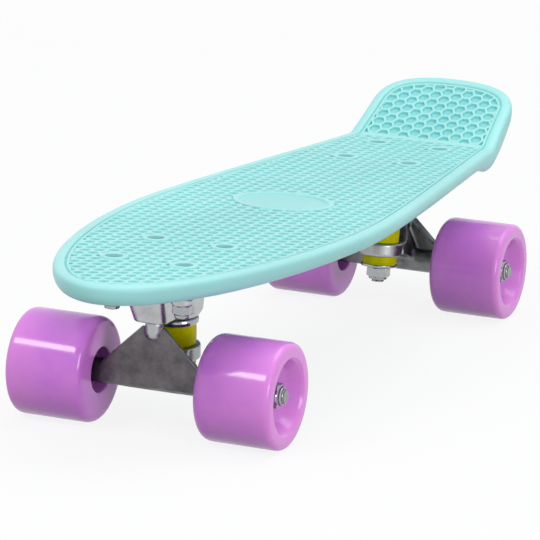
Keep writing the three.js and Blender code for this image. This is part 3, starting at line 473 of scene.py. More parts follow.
def turned(profile, sides=72):
    """A turned shape about +Z: r(angle) is the profile's radius, cut down to a hexagon where a third
    column gives its width across flats. The profile closes on itself."""
    table = np.asarray(profile, float)
    radius, height = table[:, :2].T
    limit = table[:, 2] / 2 if table.shape[1] > 2 else np.full(len(table), np.inf)
    sector = math.pi / 3
    across = limit[:, None] / np.cos((angles(sides) + sector / 2) % sector - sector / 2)[None, :]
    points = around(np.minimum(radius[:, None], across), height)
    return points.reshape(-1, 3), grid_faces(len(radius), sides, True, True)


def placed(shell, matrix):
    """A shell moved by a 4 x 4 matrix in millimetres."""
    points, faces = shell
    matrix = np.array(matrix)
    return points @ matrix[:3, :3].T + matrix[:3, 3], faces


def stand_in(node, finish, body, place, *shells):
    """Shows shells, placed by a matrix, instead of the frame's node of that name."""
    mesh = make_mesh(node, [placed(shell, place) for shell in shells])
    return dress(mesh, f"{node}_finish", finish, body, (node,))


def raised(height):
    """A move straight up."""
    return Matrix.Translation((0, 0, height))


def truck_place(end):
    """From a truck's own frame, origin at the axle's centre with +Y inboard, to the board's."""
    centre = FRONT_AXLE if end == "front" else REAR_AXLE
    turn = 0 if end == "front" else math.pi
    return Matrix.Translation(Vector(centre)) @ Matrix.Rotation(turn, 4, "Z")


def kingpin_place():
    """From the kingpin's frame, origin at the bushing ring's centre, to its truck's frame."""
    tilt = bpy.context.scene.skateboard_truck.kingpin_tilt
    return Matrix.Translation(Vector((0, KINGPIN["reach"], KINGPIN["ring_height"]))) @ \
        Matrix.Rotation(tilt, 4, "X")


def wheel_place(end, side):
    """From a wheel's frame, origin at its middle with +Z outboard, to the board's."""
    centre = FRONT_AXLE if end == "front" else REAR_AXLE
    offset = Vector((SIDES[side] * WHEEL_OFFSET, centre[1], centre[2]))
    return Matrix.Translation(offset) @ Matrix.Rotation(SIDES[side] * math.pi / 2, 4, "Y")


# Deck

RIM = {
    "depth": 10.6, "side_depth": 3.2, "nose_depth": 11.6, "nose_start": 80.0, "nose_end": 230.0,
    "heel_depth": 18.0, "heel_start": 188.0, "heel_peak": 231.0, "heel_end": 279.0, "heel_ease": 0.35,
}
OUTLINE = {
    "widest": 51.0, "blunt": 0.62, "nose_side": 0.414, "waist_start": 0.22, "waist_end": 0.235,
    "waist_taper": 0.092, "root": 48.8, "kick": 46.4, "kick_side": 36.0, "kick_taper": 0.05,
    "corner_side": 0.64, "corner_end": 0.73,
}
FLOOR_DEPTH = 3.5
PANEL_DEPTH = 4.5
CLIP_INSET = 8.3
BEND_RADIUS = 10.0
BEND_REACH = 3.0
OVERLAP = 0.4
# Across the rim from its outer edge: (inset, depth under the crown, corner's radius)
RIM_CORNERS = [
    (8.9, 3.5, 0), (8.9, 0.4, 0.3), (7.7, 0.4, 0.3), (7.35, 1.8, 0.3), (6.75, 1.8, 0.3),
    (6.2, 0.25, 0.8), (4.8, 0.0, 9), (2.9, 0.12, 9), (1.35, 0.6, 9), (0.35, 1.6, 9), (0, 3.2, 9),
    (0.25, 5.4, 9), (1.1, 7.8, 9), (2.9, 9.7, 9), (5.0, 10.6, 9), (8.2, 10.6, 0.5), (8.6, 4.5, 0),
]


def deck_sizes():
    """The deck's settings in millimetres."""
    deck = bpy.context.scene.skateboard_deck
    return {
        "crown": deck.crown / MM, "nose": deck.nose / MM, "half_width": deck.half_width / MM,
        "kick_start": deck.kick_start / MM, "kick_length": deck.kick_length / MM,
        "kick_angle": deck.kick_angle, "pitch": deck.cell_pitch / MM,
    }


def on_deck(x, s, depth):
    """Deck coordinates to space. The crown runs flat, then round an arc of the bend radius through
    the kick angle, then straight up the kick; depth is measured square to it."""
    size = deck_sizes()
    arc = BEND_RADIUS * size["kick_angle"]
    start = size["kick_start"] - arc / 2
    turn = np.clip((s - start) / BEND_RADIUS, 0, size["kick_angle"])
    straight = np.maximum(s - start - arc, 0)
    y = np.minimum(s, start) + BEND_RADIUS * np.sin(turn) + straight * np.cos(turn)
    z = BEND_RADIUS * (1 - np.cos(turn)) + straight * np.sin(turn)
    return np.stack(np.broadcast_arrays(
        x, MID_BOARD + y + depth * np.sin(turn), size["crown"] + z - depth * np.cos(turn)), axis=-1)


def outline_half(spacing):
    """Right half of the outline from nose to tail: four cubic Bezier curves, resampled evenly. Returns
    points (x, s) and their outward normals."""
    size = deck_sizes()
    nose, wide, fold = size["nose"], size["half_width"], size["kick_start"]
    end = fold + size["kick_length"]
    widest, root, kick = OUTLINE["widest"], OUTLINE["root"], OUTLINE["kick"]
    shoulder = widest + (nose - widest) * OUTLINE["nose_side"]
    waist = (fold + widest) * OUTLINE["waist_end"]
    third = OUTLINE["kick_side"] / 3
    corner = fold + OUTLINE["kick_side"]
    handle = (end - corner) * OUTLINE["corner_side"]
    taper = OUTLINE["kick_taper"]
    curves = np.array([
        [(0, -nose), (wide * OUTLINE["blunt"], -nose), (wide, -shoulder), (wide, -widest)],
        [(wide, -widest), (wide, (fold + widest) * OUTLINE["waist_start"] - widest),
         (root + waist * OUTLINE["waist_taper"], fold - waist), (root, fold)],
        [(root, fold), (root - third * OUTLINE["waist_taper"], fold + third),
         (kick + third * taper, corner - third), (kick, corner)],
        [(kick, corner), (kick - handle * taper, corner + handle),
         (kick * OUTLINE["corner_end"], end), (0, end)],
    ])
    t = np.linspace(0, 1, 200)[None, :, None]
    weights = ((1 - t) ** 3, 3 * t * (1 - t) ** 2, 3 * t ** 2 * (1 - t), t ** 3)
    dense = sum(w * curves[:, i][:, None] for i, w in enumerate(weights)).reshape(-1, 2)
    dense = dense[np.r_[True, np.linalg.norm(np.diff(dense, axis=0), axis=1) > 1e-6]]
    along = np.r_[0, np.cumsum(np.linalg.norm(np.diff(dense, axis=0), axis=1))]
    even = np.linspace(0, along[-1], int(along[-1] / spacing) + 1)
    line = np.stack([np.interp(even, along, dense[:, i]) for i in (0, 1)], axis=1)
    tangent = np.gradient(line, axis=0)
    normal = np.stack([tangent[:, 1], -tangent[:, 0]], axis=1)
    normal /= np.linalg.norm(normal, axis=1)[:, None]
    normal[0] = (0, -1)
    normal[-1] = (0, 1)
    return line, normal


def outline_loop(spacing):
    """The whole outline, right side from nose to tail and back down the left side."""
    line, normal = outline_half(spacing)
    mirror = np.array([-1, 1])
    return (np.concatenate([line, line[-2:0:-1] * mirror]),
            np.concatenate([normal, normal[-2:0:-1] * mirror]))


def share_of(value, start, end):
    """How far a value has come from start to end, from nought to one."""
    return np.clip((value - start) / (end - start), 0, 1)


def smooth(share):
    """Smooth step of a share."""
    return share ** 2 * (3 - 2 * share)


def rim_depth(s):
    """Full depth of the rim: it grows a little towards the nose, by a smooth step, and almost linearly
    into the heel under the kick's root, where it falls off again as a squared cosine."""
    rise = share_of(s, RIM["heel_start"], RIM["heel_peak"])
    rise = rise + RIM["heel_ease"] * (smooth(rise) - rise)
    fall = share_of(s, RIM["heel_peak"], RIM["heel_end"])
    swell = (RIM["nose_depth"] - RIM["depth"]) * smooth(share_of(-s, RIM["nose_start"], RIM["nose_end"]))
    heel = (RIM["heel_depth"] - RIM["depth"]) * rise * np.cos(fall * math.pi / 2) ** 2
    return RIM["depth"] + swell + heel


def rim_shell(spacing=1.3):
    """The rim's profile carried round the outline, closed by strips across the deck: the tread's bed
    above and the panel's underside below. Below the side line the depth stretches with the heel."""
    line, normal = outline_loop(spacing)
    inset, depth = rounded(RIM_CORNERS, 4).T
    x, s = (line[None, :, i] - normal[None, :, i] * inset[:, None] for i in (0, 1))
    side = RIM["side_depth"]
    stretch = (rim_depth(line[:, 1]) - side) / (RIM["depth"] - side)
    down = np.where(depth[:, None] > side, side + (depth[:, None] - side) * stretch, depth[:, None])
    down[0], down[-1] = FLOOR_DEPTH, PANEL_DEPTH
    rows, count = x.shape
    half = np.arange(1, count // 2)
    caps = []
    for row in (0, rows - 1):
        right = np.r_[0, half, count // 2] + row * count
        left = np.r_[0, (count - half) % count, count // 2] + row * count
        caps.append(np.stack([right[:-1], right[1:], left[1:], left[:-1]], axis=1))
    return on_deck(x, s, down).reshape(-1, 3), np.concatenate([grid_faces(rows, count, False, True), *caps])


def bar(x, s, depth, chamfer=0.8):
    """A straight rib under the deck: a section with two chamfered lower corners, carried along s."""
    fold = deck_sizes()["kick_start"]
    bend = np.clip(np.linspace(fold - BEND_REACH, fold + BEND_REACH, 7), *s)
    stations = np.unique(np.r_[s[0], bend, s[1]])
    section = np.array([
        (x[0], depth[0]), (x[0], depth[1] - chamfer), (x[0] + chamfer, depth[1]),
        (x[1] - chamfer, depth[1]), (x[1], depth[1] - chamfer), (x[1], depth[0]),
    ])
    points = on_deck(section[None, :, 0], stations[:, None], section[None, :, 1]).reshape(-1, 3)
    count = len(section)
    last = len(points) - count
    quads = grid_faces(len(stations), count, False, True)
    ends = [[base + i for i in face] for base in (0, last) for face in ((0, 1, 4, 5), (1, 2, 3, 4))]
    return points, np.concatenate([quads, np.array(ends)])


def inner_half_width(s, inset):
    """Half width of the deck inside an inset, at a place along it."""
    line, normal = outline_half(2.0)
    inner = line - normal * inset
    return np.interp(s, inner[:, 1], inner[:, 0], left=0, right=0)


BOLTS = {"across": 41.3, "along": 54.0, "shift": 11.3, "seat": 4.85, "seat_depth": 4.4, "shank": 2.85,
         "cone_depth": 7.0, "ring": 7.8, "ring_height": 0.15, "ring_edge": 0.6}
OVAL = {"half_width": 30.0, "half_length": 25.0, "middle": -7.5, "sides": 128}
# Across the oval's rim from its outer edge: (inset, depth, corner's radius)
OVAL_CORNERS = [(0, FLOOR_DEPTH, 0), (0, 0.1, 0.35), (2.6, 0.1, 0.35), (3.1, 1.2, 0.4), (25, 1.2, 0),
                (25, FLOOR_DEPTH, 0)]
RIBS = {"side": 26.0, "width": 2.6, "depth": 7.2, "pitch": 40.0, "count": 9, "inset": 8.6, "tuck": 0.3,
        "chamfer": 0.5, "reach": (-262, 270)}
PADS = {"half_width": 29.3, "near": 130.2, "far": 203.2, "depth": 10.45}


def bolt_places():
    """The eight bolt holes as (x, y), y from mid wheelbase, numbered as the frame's nodes are."""
    return [(side * BOLTS["across"] / 2, end * (HALF_BASE - BOLTS["shift"] - inner * BOLTS["along"] / 2))
            for end in (-1, 1) for side in (-1, 1) for inner in (-1, 1)]


def at_bolts(shell):
    """A shell at each of the eight bolts."""
    return [placed(shell, Matrix.Translation((x, y + MID_BOARD, 0))) for x, y in bolt_places()]


def cut_bolt_holes(piece):
    """Bores the eight bolt seats through a deck piece and applies the cut."""
    crown = deck_sizes()["crown"]
    low, high = crown - PADS["depth"] - 1, crown + 1
    seat, shank = BOLTS["seat"], BOLTS["shank"]
    bore = turned([(0, low), (shank, low), (shank, crown - BOLTS["cone_depth"]),
                   (seat, crown - BOLTS["seat_depth"]), (seat, high), (0, high)], 32)
    cutter = bpy.data.objects.new("bolt_hole_cutter", make_mesh("bolt_hole_cutter", at_bolts(bore)))
    bpy.context.scene.collection.objects.link(cutter)
    modifier = piece.modifiers.new("bolt_holes", "BOOLEAN")
    modifier.operation = "DIFFERENCE"
    modifier.solver = "EXACT"
    modifier.object = cutter
    bpy.context.view_layer.update()
    view = bpy.context.evaluated_depsgraph_get()
    cut = bpy.data.meshes.new_from_object(piece.evaluated_get(view), depsgraph=view)
    piece.modifiers.clear()
    piece.data = cut
    bpy.data.objects.remove(cutter)
    cut.set_sharp_from_angle(angle=math.radians(40))


def pad_bars():
    """The two truck pads, let into the panel a little."""
    width, near, far = PADS["half_width"], PADS["near"], PADS["far"]
    return [bar((-width, width), span, (PANEL_DEPTH - OVERLAP, PADS["depth"]))
            for span in ((-far, -near), (near, far))]


def rib_bars():
    """Three ribs along the deck, as far as they fit inside the rim, and the ribs across it."""
    half, inset = RIBS["width"] / 2, RIBS["inset"]
    along = np.linspace(*RIBS["reach"], 533)
    spans = []
    for x in (-RIBS["side"], 0, RIBS["side"]):
        room = along[inner_half_width(along, inset) > abs(x) + RIBS["width"]]
        spans.append(((x - half, x + half), (room[0], room[-1])))
    for i in range(RIBS["count"]):
        s = (i - (RIBS["count"] - 1) / 2) * RIBS["pitch"] - RIBS["width"]
        reach = float(inner_half_width(s, inset)) + RIBS["tuck"]
        spans.append(((-reach, reach), (s - half, s + half)))
    return [bar(*span, (PANEL_DEPTH - OVERLAP, RIBS["depth"]), RIBS["chamfer"]) for span in spans]


class SKATEBOARD_OT_deck_shell(bpy.types.Operator):
    """Rim, heel and panel of the deck, with its truck pads and ribs underneath"""

    bl_idname = "skateboard.deck_shell"
    bl_label = "Deck shell"

    def execute(self, context):
        shell = make_mesh("deck_shell", [rim_shell()])
        cut_bolt_holes(dress(shell, "deck_shell", "deck", "board", ("deck",), crease=40))
        pads = make_mesh("truck_pads", pad_bars())
        cut_bolt_holes(dress(pads, "truck_pads", "deck", "board", crease=40))
        dress(make_mesh("deck_ribs", rib_bars()), "deck_ribs", "deck", "board", crease=40)
        return {"FINISHED"}


# Painted shade: pockets on the flat deck are painted darker at the share in the last entry, those on the kick
# at full strength
TREAD = {"ridge": 1.35, "flat_ridge": 2.2, "top": 0.55, "floor": 2.1, "slope": 0.35, "first_kick": 3.1,
         "first_flat": 16.4, "fold_gap": 2.0, "soft_corner": 0.98, "edge_out": 0.12, "edge_in": 0.06,
         "edge_drop": 0.15, "trim_share": 0.58, "tuck": 0.3, "columns": 12, "rows": 80,
         "flat_pocket_shade": 0.62}
BED_DEPTH = FLOOR_DEPTH + 0.1
CELL_POINTS = 12
MERGE_STEPS = 200  # to the millimetre; points on the same step are merged


def cell_centres(size):
    """Centres of the honeycomb on flat deck and kick as (x, s, low limit, high limit): columns
    sqrt(3)/2 pitches apart, each one shifted half a pitch, one column on the centre line."""
    pitch, fold, gap = size["pitch"], size["kick_start"], TREAD["fold_gap"]
    column, row = np.meshgrid(np.arange(-TREAD["columns"], TREAD["columns"] + 1),
                              np.arange(-TREAD["rows"], TREAD["rows"] + 1), indexing="ij")
    cells = []
    for start, low, high in ((fold + TREAD["first_kick"], fold + gap, fold + size["kick_length"]),
                             (fold - TREAD["first_flat"], -size["nose"], fold - gap)):
        x = column * pitch * math.sqrt(3) / 2
        s = start + (row + (column % 2) / 2) * pitch
        near = (s > low - pitch / 2) & (s < high + pitch / 2)
        cells.append(np.stack([x[near], s[near], *np.full((2, near.sum()), [[low], [high]])], axis=1))
    return np.concatenate(cells)


def push_inside(points, line, normal):
    """Moves points outside a closed line to its nearest point, and measures how far outside they were.
    Inside is behind the line's normal."""
    ahead = np.roll(line, -1, axis=0) - line
    offset = points[:, None, :] - line[None]
    share = np.clip(np.sum(offset * ahead[None], axis=2) / np.sum(ahead ** 2, axis=1)[None], 0, 1)
    nearest = line[None] + share[..., None] * ahead[None]
    gap = points[:, None, :] - nearest
    distance = np.linalg.norm(gap, axis=2)
    best = np.argmin(distance, axis=1)
    rows = np.arange(len(points))
    outside = np.sum(gap[rows, best] * normal[best], axis=1) > 0
    kept = np.where(outside[:, None], nearest[rows, best], points)
    return kept, np.where(outside, 1, -1) * distance[rows, best]


def push_out_of_ellipse(points, centre, reach):
    """Moves points inside an ellipse out to its edge, along the ray from its centre."""
    offset = (points - centre) / reach
    radius = np.maximum(np.linalg.norm(offset, axis=1), 1e-6)
    return np.where((radius < 1)[:, None], centre + offset / radius[:, None] * reach, points)


def tread_shell():
    """The honeycomb tread: each cell has a ring of 12 points on its hexagon, two round its pocket's
    edge and one round the pocket's floor. Points past the border are moved onto it. The cell over each
    bolt and those under the oval are left out, and points in the bolt rings and the oval are moved out
    to their edges. Returns the points (x, s), their depths, the faces and each cell's outer ring."""
    size = deck_sizes()
    pitch = size["pitch"]
    cells = cell_centres(size)
    line, normal = outline_loop(4.0)
    clip = line - normal * CLIP_INSET
    trim = pitch * TREAD["trim_share"]
    cells = cells[push_inside(cells[:, :2], clip, normal)[1] < trim]
    oval = np.array((OVAL["half_width"], OVAL["half_length"])) - TREAD["tuck"]
    oval_middle = np.array((0, OVAL["middle"]))
    cells = cells[np.linalg.norm((cells[:, :2] - oval_middle) / (oval - trim), axis=1) > 1]
    step = np.arange(CELL_POINTS)
    turn = step * math.pi / 6
    ray = np.stack([np.cos(turn), np.sin(turn)], axis=1)
    corner, softened = (np.where(step % 2 == 0, reach, math.sqrt(3) / 2)
                        for reach in (1.0, TREAD["soft_corner"]))
    ridge = np.where(cells[:, 3:] > size["kick_start"], TREAD["ridge"], TREAD["flat_ridge"])
    pocket = (pitch - ridge) / math.sqrt(3)
    levels = [
        (pitch / math.sqrt(3) * corner, TREAD["top"]),
        ((pocket + TREAD["edge_out"]) * softened, TREAD["top"]),
        ((pocket - TREAD["edge_in"]) * softened, TREAD["top"] + TREAD["edge_drop"]),
        ((pocket - TREAD["slope"]) * softened, TREAD["floor"]),
    ]
    shape = len(cells), CELL_POINTS
    reaches = np.stack([np.broadcast_to(reach, shape) for reach, _ in levels], axis=1)
    rings = cells[:, None, None, :2] + ray * reaches[..., None]
    rings[..., 1] = np.clip(rings[..., 1], cells[:, None, None, 2], cells[:, None, None, 3])
    ring_reach = np.full(2, BOLTS["ring"] - TREAD["tuck"])
    for place in np.array(bolt_places()):
        covered = np.argmin(np.linalg.norm(cells[:, :2] - place, axis=1))
        corners = rings[covered, 0]
        cells, rings = (np.delete(table, covered, axis=0) for table in (cells, rings))
        shared = np.abs(rings[..., None, :] - corners).max(axis=-1).min(axis=-1) < 2 / MERGE_STEPS
        offset = rings[shared] - place
        rings[shared] = place + offset / np.linalg.norm(offset, axis=1)[:, None] * ring_reach
        rings = push_out_of_ellipse(rings.reshape(-1, 2), place, ring_reach).reshape(rings.shape)
    flat = push_inside_in_parts(rings.reshape(-1, 2), clip, normal)
    flat = push_out_of_ellipse(flat, oval_middle, oval)
    shape = len(cells), len(levels), CELL_POINTS
    depth = np.broadcast_to(np.array([level for _, level in levels])[None, :, None], shape).ravel()
    corner_index = np.arange(math.prod(shape)).reshape(shape)
    beside = np.roll(corner_index, -1, axis=2)
    walls = np.stack([corner_index[:, :-1], beside[:, :-1], beside[:, 1:], corner_index[:, 1:]], axis=-1)
    floors = corner_index[:, -1].tolist()
    return flat, depth, walls.reshape(-1, 4).tolist() + floors, corner_index[:, 0]


def push_inside_in_parts(points, line, normal, part=4000):
    """push_inside over a long list of points, a part at a time, to keep its arrays small."""
    return np.concatenate([push_inside(points[i:i + part], line, normal)[0]
                           for i in range(0, len(points), part)])


def tread_mesh():
    """The tread as one closed mesh. Its base repeats the cells' outer rings at the bed's depth, and a
    skirt joins both along the edges that one cell alone has."""
    flat, depth, faces, outer = tread_shell()
    base_start = len(flat)
    base = flat[outer.ravel()]
    plan = np.concatenate([flat, base])
    down = np.concatenate([depth, np.full(len(base), BED_DEPTH)])
    base_faces = (base_start + np.arange(outer.size).reshape(outer.shape))[:, ::-1].tolist()
    key = np.round(np.column_stack([plan, down]) * MERGE_STEPS).astype(np.int64)
    _, first, same = np.unique(key, axis=0, return_index=True, return_inverse=True)
    same = same.ravel()
    points = on_deck(plan[first, 0], plan[first, 1], down[first])
    top = close_faces(faces, same)
    under = close_faces(base_faces, same)
    ring = same[outer]
    ring_base = same[base_start:].reshape(outer.shape)
    pairs = np.stack([ring, np.roll(ring, -1, axis=1), np.roll(ring_base, -1, axis=1), ring_base], axis=-1)
    pairs = pairs.reshape(-1, 4)
    pairs = pairs[pairs[:, 0] != pairs[:, 1]]
    edge = np.sort(pairs[:, :2], axis=1)
    _, back, times = np.unique(edge, axis=0, return_inverse=True, return_counts=True)
    skirt = pairs[times[back.ravel()] == 1][:, ::-1].tolist()
    mesh = bpy.data.meshes.new("deck_tread")
    mesh.from_pydata((points * MM).tolist(), [], top + under + skirt)
    # Painted shade: kick pockets get the full painted darkening, flat ones a smaller share
    share = np.where(plan[first, 1] > deck_sizes()["kick_start"], 1.0, TREAD["flat_pocket_shade"])
    mark_pocket_shade(mesh, down[first], share)
    mesh.validate()
    return mesh


def mark_pocket_shade(mesh, depth, share=1.0):
    """Writes the recess attribute for painted shade: nought at ridge tops, one times the share at pocket
    floors.
    """
    value = (np.asarray(depth) - TREAD["top"]) / (TREAD["floor"] - TREAD["top"]) * share
    mesh.attributes.new("recess", "FLOAT", "POINT").data.foreach_set("value", np.maximum(value, 0))


def close_faces(faces, same):
    """Faces on merged points, with repeats taken out and slivers dropped."""
    kept = []
    for face in faces:
        ring = [int(same[i]) for i in face]
        ring = [v for i, v in enumerate(ring) if v != ring[i - 1]]
        if len(set(ring)) > 2 and len(set(ring)) == len(ring):
            kept.append(ring)
    return kept


class SKATEBOARD_OT_deck_tread(bpy.types.Operator):
    """Honeycomb tread over the flat of the deck and the kick tail"""

    bl_idname = "skateboard.deck_tread"
    bl_label = "Deck tread"

    def execute(self, context):
        dress(tread_mesh(), "deck_tread", "deck", "board", crease=30)
        # The fold keeps no cells; a plain strip with two ends closes the gap
        fold, gap = deck_sizes()["kick_start"], TREAD["fold_gap"] + 0.1
        reach = float(inner_half_width(fold, CLIP_INSET))
        stations = np.linspace(fold - gap, fold + gap, 9)[:, None]
        across = np.linspace(-reach, reach, 5)
        rows = np.concatenate([on_deck(across, stations, TREAD["top"]),
                               on_deck(across[::-1], stations, BED_DEPTH)], axis=1)
        count = rows.shape[1]
        strip = rows.reshape(-1, 3)
        ends = np.stack([np.arange(count), np.arange(len(strip) - count, len(strip))])
        shells = [(strip, grid_faces(len(stations), count, False, True)), (strip, ends)]
        dress(make_mesh("kick_fold", shells), "kick_fold", "deck", "board", crease=30)
        return {"FINISHED"}


def oval_shell():
    """A bare oval plate inside a raised rim: a profile of (inset, depth) carried round an ellipse."""
    inset, depth = rounded(OVAL_CORNERS, 6).T
    angle = angles(OVAL["sides"])
    width, length = OVAL["half_width"], OVAL["half_length"]
    left = 1 - inset[:, None] / length
    points = on_deck(left * width * np.cos(angle), OVAL["middle"] + left * length * np.sin(angle),
                     depth[:, None])
    return points.reshape(-1, 3), grid_faces(len(inset), OVAL["sides"], True, True)


class SKATEBOARD_OT_deck_details(bpy.types.Operator):
    """Rings round the bolt seats and the bare oval plate at the middle of the tread"""

    bl_idname = "skateboard.deck_details"
    bl_label = "Deck details"

    def execute(self, context):
        crown = deck_sizes()["crown"]
        ring, seat, edge = BOLTS["ring"], BOLTS["seat"], BOLTS["ring_edge"]
        top, bottom = crown + BOLTS["ring_height"], crown - PANEL_DEPTH
        profile = rounded([(ring, crown - FLOOR_DEPTH, 0), (ring, top, edge), (seat, top, edge),
                           (seat, bottom, 0), (seat + OVERLAP, bottom, 0)])
        rings = make_mesh("bolt_seat_rings", at_bolts(turned(profile, 64)))
        dress(rings, "bolt_seat_rings", "deck", "board")
        oval = make_mesh("oval_plate", [oval_shell()])
        # Painted shade: the oval's recessed plate is painted darker by its depth, as the pockets are
        mark_pocket_shade(oval, [min(crown - point.co.z / MM, TREAD["floor"]) for point in oval.vertices])
        dress(oval, "oval_plate", "deck", "board")
        return {"FINISHED"}


# Cast pieces, as skins of distance fields


def blend(a, b, radius):
    """Union of two distance fields with a fillet: smooth minimum of the given radius."""
    share = np.clip(0.5 + 0.5 * (b - a) / radius, 0, 1)
    return b + (a - b) * share - radius * share * (1 - share)


def meet(a, b, radius):
    """Intersection with a rounded edge."""
    return -blend(-a, -b, radius)


def box_field(u, v, half_u, half_v, corner):
    """Distance to a rounded rectangle about the origin."""
    du = np.abs(u) - half_u + corner
    dv = np.abs(v) - half_v + corner
    return np.hypot(np.maximum(du, 0), np.maximum(dv, 0)) + np.minimum(np.maximum(du, dv), 0) - corner


def polygon_field(u, v, corners):
    """Signed distance to a polygon: the least distance to its edges, negative where an odd number of
    edges lies to one side."""
    distance = np.full(np.shape(u), 1e9)
    sign = np.ones(np.shape(u))
    for (u0, v0), (u1, v1) in zip(corners, corners[1:] + corners[:1]):
        along_u, along_v = u1 - u0, v1 - v0
        share = ((u - u0) * along_u + (v - v0) * along_v) / (along_u ** 2 + along_v ** 2)
        share = np.clip(share, 0, 1)
        distance = np.minimum(distance, np.hypot(u - u0 - share * along_u, v - v0 - share * along_v))
        crossing = (v0 > v) != (v1 > v)
        with np.errstate(divide="ignore", invalid="ignore"):
            left = u < along_u * (v - v0) / (v1 - v0 if v1 != v0 else 1e-9) + u0
        sign = np.where(crossing & left, -sign, sign)
    return sign * distance


def skin(field, low, high, step):
    """Surface where a field is zero. Each grid cell that it crosses gets one point, the mean of the
    crossings on its edges, each crossed grid edge gets a quad of its four cells' points, and three
    Newton steps move the points onto the zero."""
    axes = [np.arange(a, b + step, step) for a, b in zip(low, high)]
    grid = np.stack(np.meshgrid(*axes, indexing="ij"))
    value = field(*grid)
    inside = value < 0
    cells = tuple(n - 1 for n in value.shape)
    total = np.zeros((3, *cells))
    count = np.zeros(cells)
    for axis in range(3):
        for shift in np.ndindex(2, 2):
            first = [slice(by, by + n) for by, n in zip(np.insert(shift, axis, 0), cells)]
            second = list(first)
            second[axis] = slice(1, cells[axis] + 1)
            first, second = tuple(first), tuple(second)
            crossed = inside[first] != inside[second]
            gap = np.where(crossed, value[first] - value[second], 1)
            place = grid[(slice(None), *first)].copy()
            place[axis] += np.where(crossed, value[first] / gap, 0) * step
            total += np.where(crossed, place, 0)
            count += crossed
    used = count > 0
    index = np.full(cells, -1)
    index[used] = np.arange(used.sum())
    points = (total[:, used] / count[used]).T
    quads = []
    for axis in range(3):
        others = [(axis + 1) % 3, (axis + 2) % 3]
        first = [slice(1, -1)] * 3
        first[axis] = slice(0, -1)
        second = [slice(1, -1)] * 3
        second[axis] = slice(1, None)
        at = np.argwhere(inside[tuple(first)] != inside[tuple(second)])
        for other in others:
            at[:, other] += 1
        unit = np.eye(3, dtype=int)
        a, b = unit[others[0]], unit[others[1]]
        quads.append(np.stack([index[tuple((at - d).T)] for d in (0 * a, a, a + b, b)], axis=1))
    faces = np.concatenate(quads)
    nudge = step * 0.05
    for _ in range(3):
        here = field(*points.T)
        slope = np.stack([
            (field(*(points + nudge * e).T) - field(*(points - nudge * e).T)) / (2 * nudge)
            for e in np.eye(3)], axis=1)
        move = here[:, None] * slope / np.maximum(np.sum(slope ** 2, axis=1), 0.2)[:, None]
        points = points - np.clip(move, -step * 0.4, step * 0.4)
    return points, faces


def into_kingpin(x, y, z):
    """Coordinates of the truck's frame seen from the kingpin's frame: distance off its axis, and
    height along it."""
    tilt = bpy.context.scene.skateboard_truck.kingpin_tilt
    dy, dz = y - KINGPIN["reach"], z - KINGPIN["ring_height"]
    off = np.hypot(x, dy * math.cos(tilt) + dz * math.sin(tilt))
    return off, dz * math.cos(tilt) - dy * math.sin(tilt)


KINGPIN = {"reach": 25.3, "ring_height": 10.5, "washer_top": 20.7, "nut_seat": -11.7, "radius": 4.15,
           "top": 41.0, "tip": -20.7, "thread": 5.0, "overlap": 1.0, "neck": 0.25, "neck_rise": 0.4,
           "proud": 0.05}
PIVOT = {"reach": 5.2, "height": 36.5}
HANGER_FACE = 7.0
HANGER = {
    "plate": 4.5, "draft": 0.38, "draft_start": 0.8, "arm_end": 39.7, "arm_half": (6.5, 5.6),
    "arm_back": 0.5, "boss": 6.9, "neck_at": (-3, 4, 10.5, 16), "neck_half": (7.6, 8.4, 9.6, 10.6),
    "flare_at": (3, 13), "flare": (0.42, 0.15), "flare_top": 20, "ring": 13.3, "ring_half": 4.0,
    "bore": 8.1, "bevel": 1.2, "stem_foot": 27.2, "stem_at": (31.5, 33.5), "stem": (5.0, 4.3),
}
# The plate's outline as (x, z), and the neck's as (y, z), from the axle
HANGER_PLATE = [(-29.2, 8.2), (-32.2, 5.4), (-39.7, 5.4), (-39.7, -5.6), (39.7, -5.6), (39.7, 5.4),
                (32.2, 5.4), (29.2, 8.2), (6.6, 29.8), (-6.6, 29.8)]
NECK_SIDE = [(-4.0, 27.0), (2.0, 21.5), (6.0, 17.5), (10.6, 13.6), (16.4, 13.0), (16.4, 6.2),
             (10.5, 4.4), (3.0, 0.0), (-4.0, -4.8)]
BASEPLATE = {
    "half_width": 27.8, "half_length": 35.0, "corner": 6.5, "flange": (50.9, 57.8), "boss": 6.2,
    "boss_span": (46.6, 53.4), "block_span": (33.0, 53.8), "block_rise": 18.0,
    "block_half": (9.4, 2.2), "block_front": (-14.0, -9.4), "block_back": (4.6, 2.4),
    "cone_at": (20.8, 24.2, 43.0), "cone": (12.6, 14.7, 16.6), "cone_span": (20.8, 44.0),
    "web_middle": 8.0, "web_half": (7.5, 12.0), "web_span": (37.0, 55.0),
    "cup": 6.1, "cup_top": 42.2, "bore": 4.35,
}


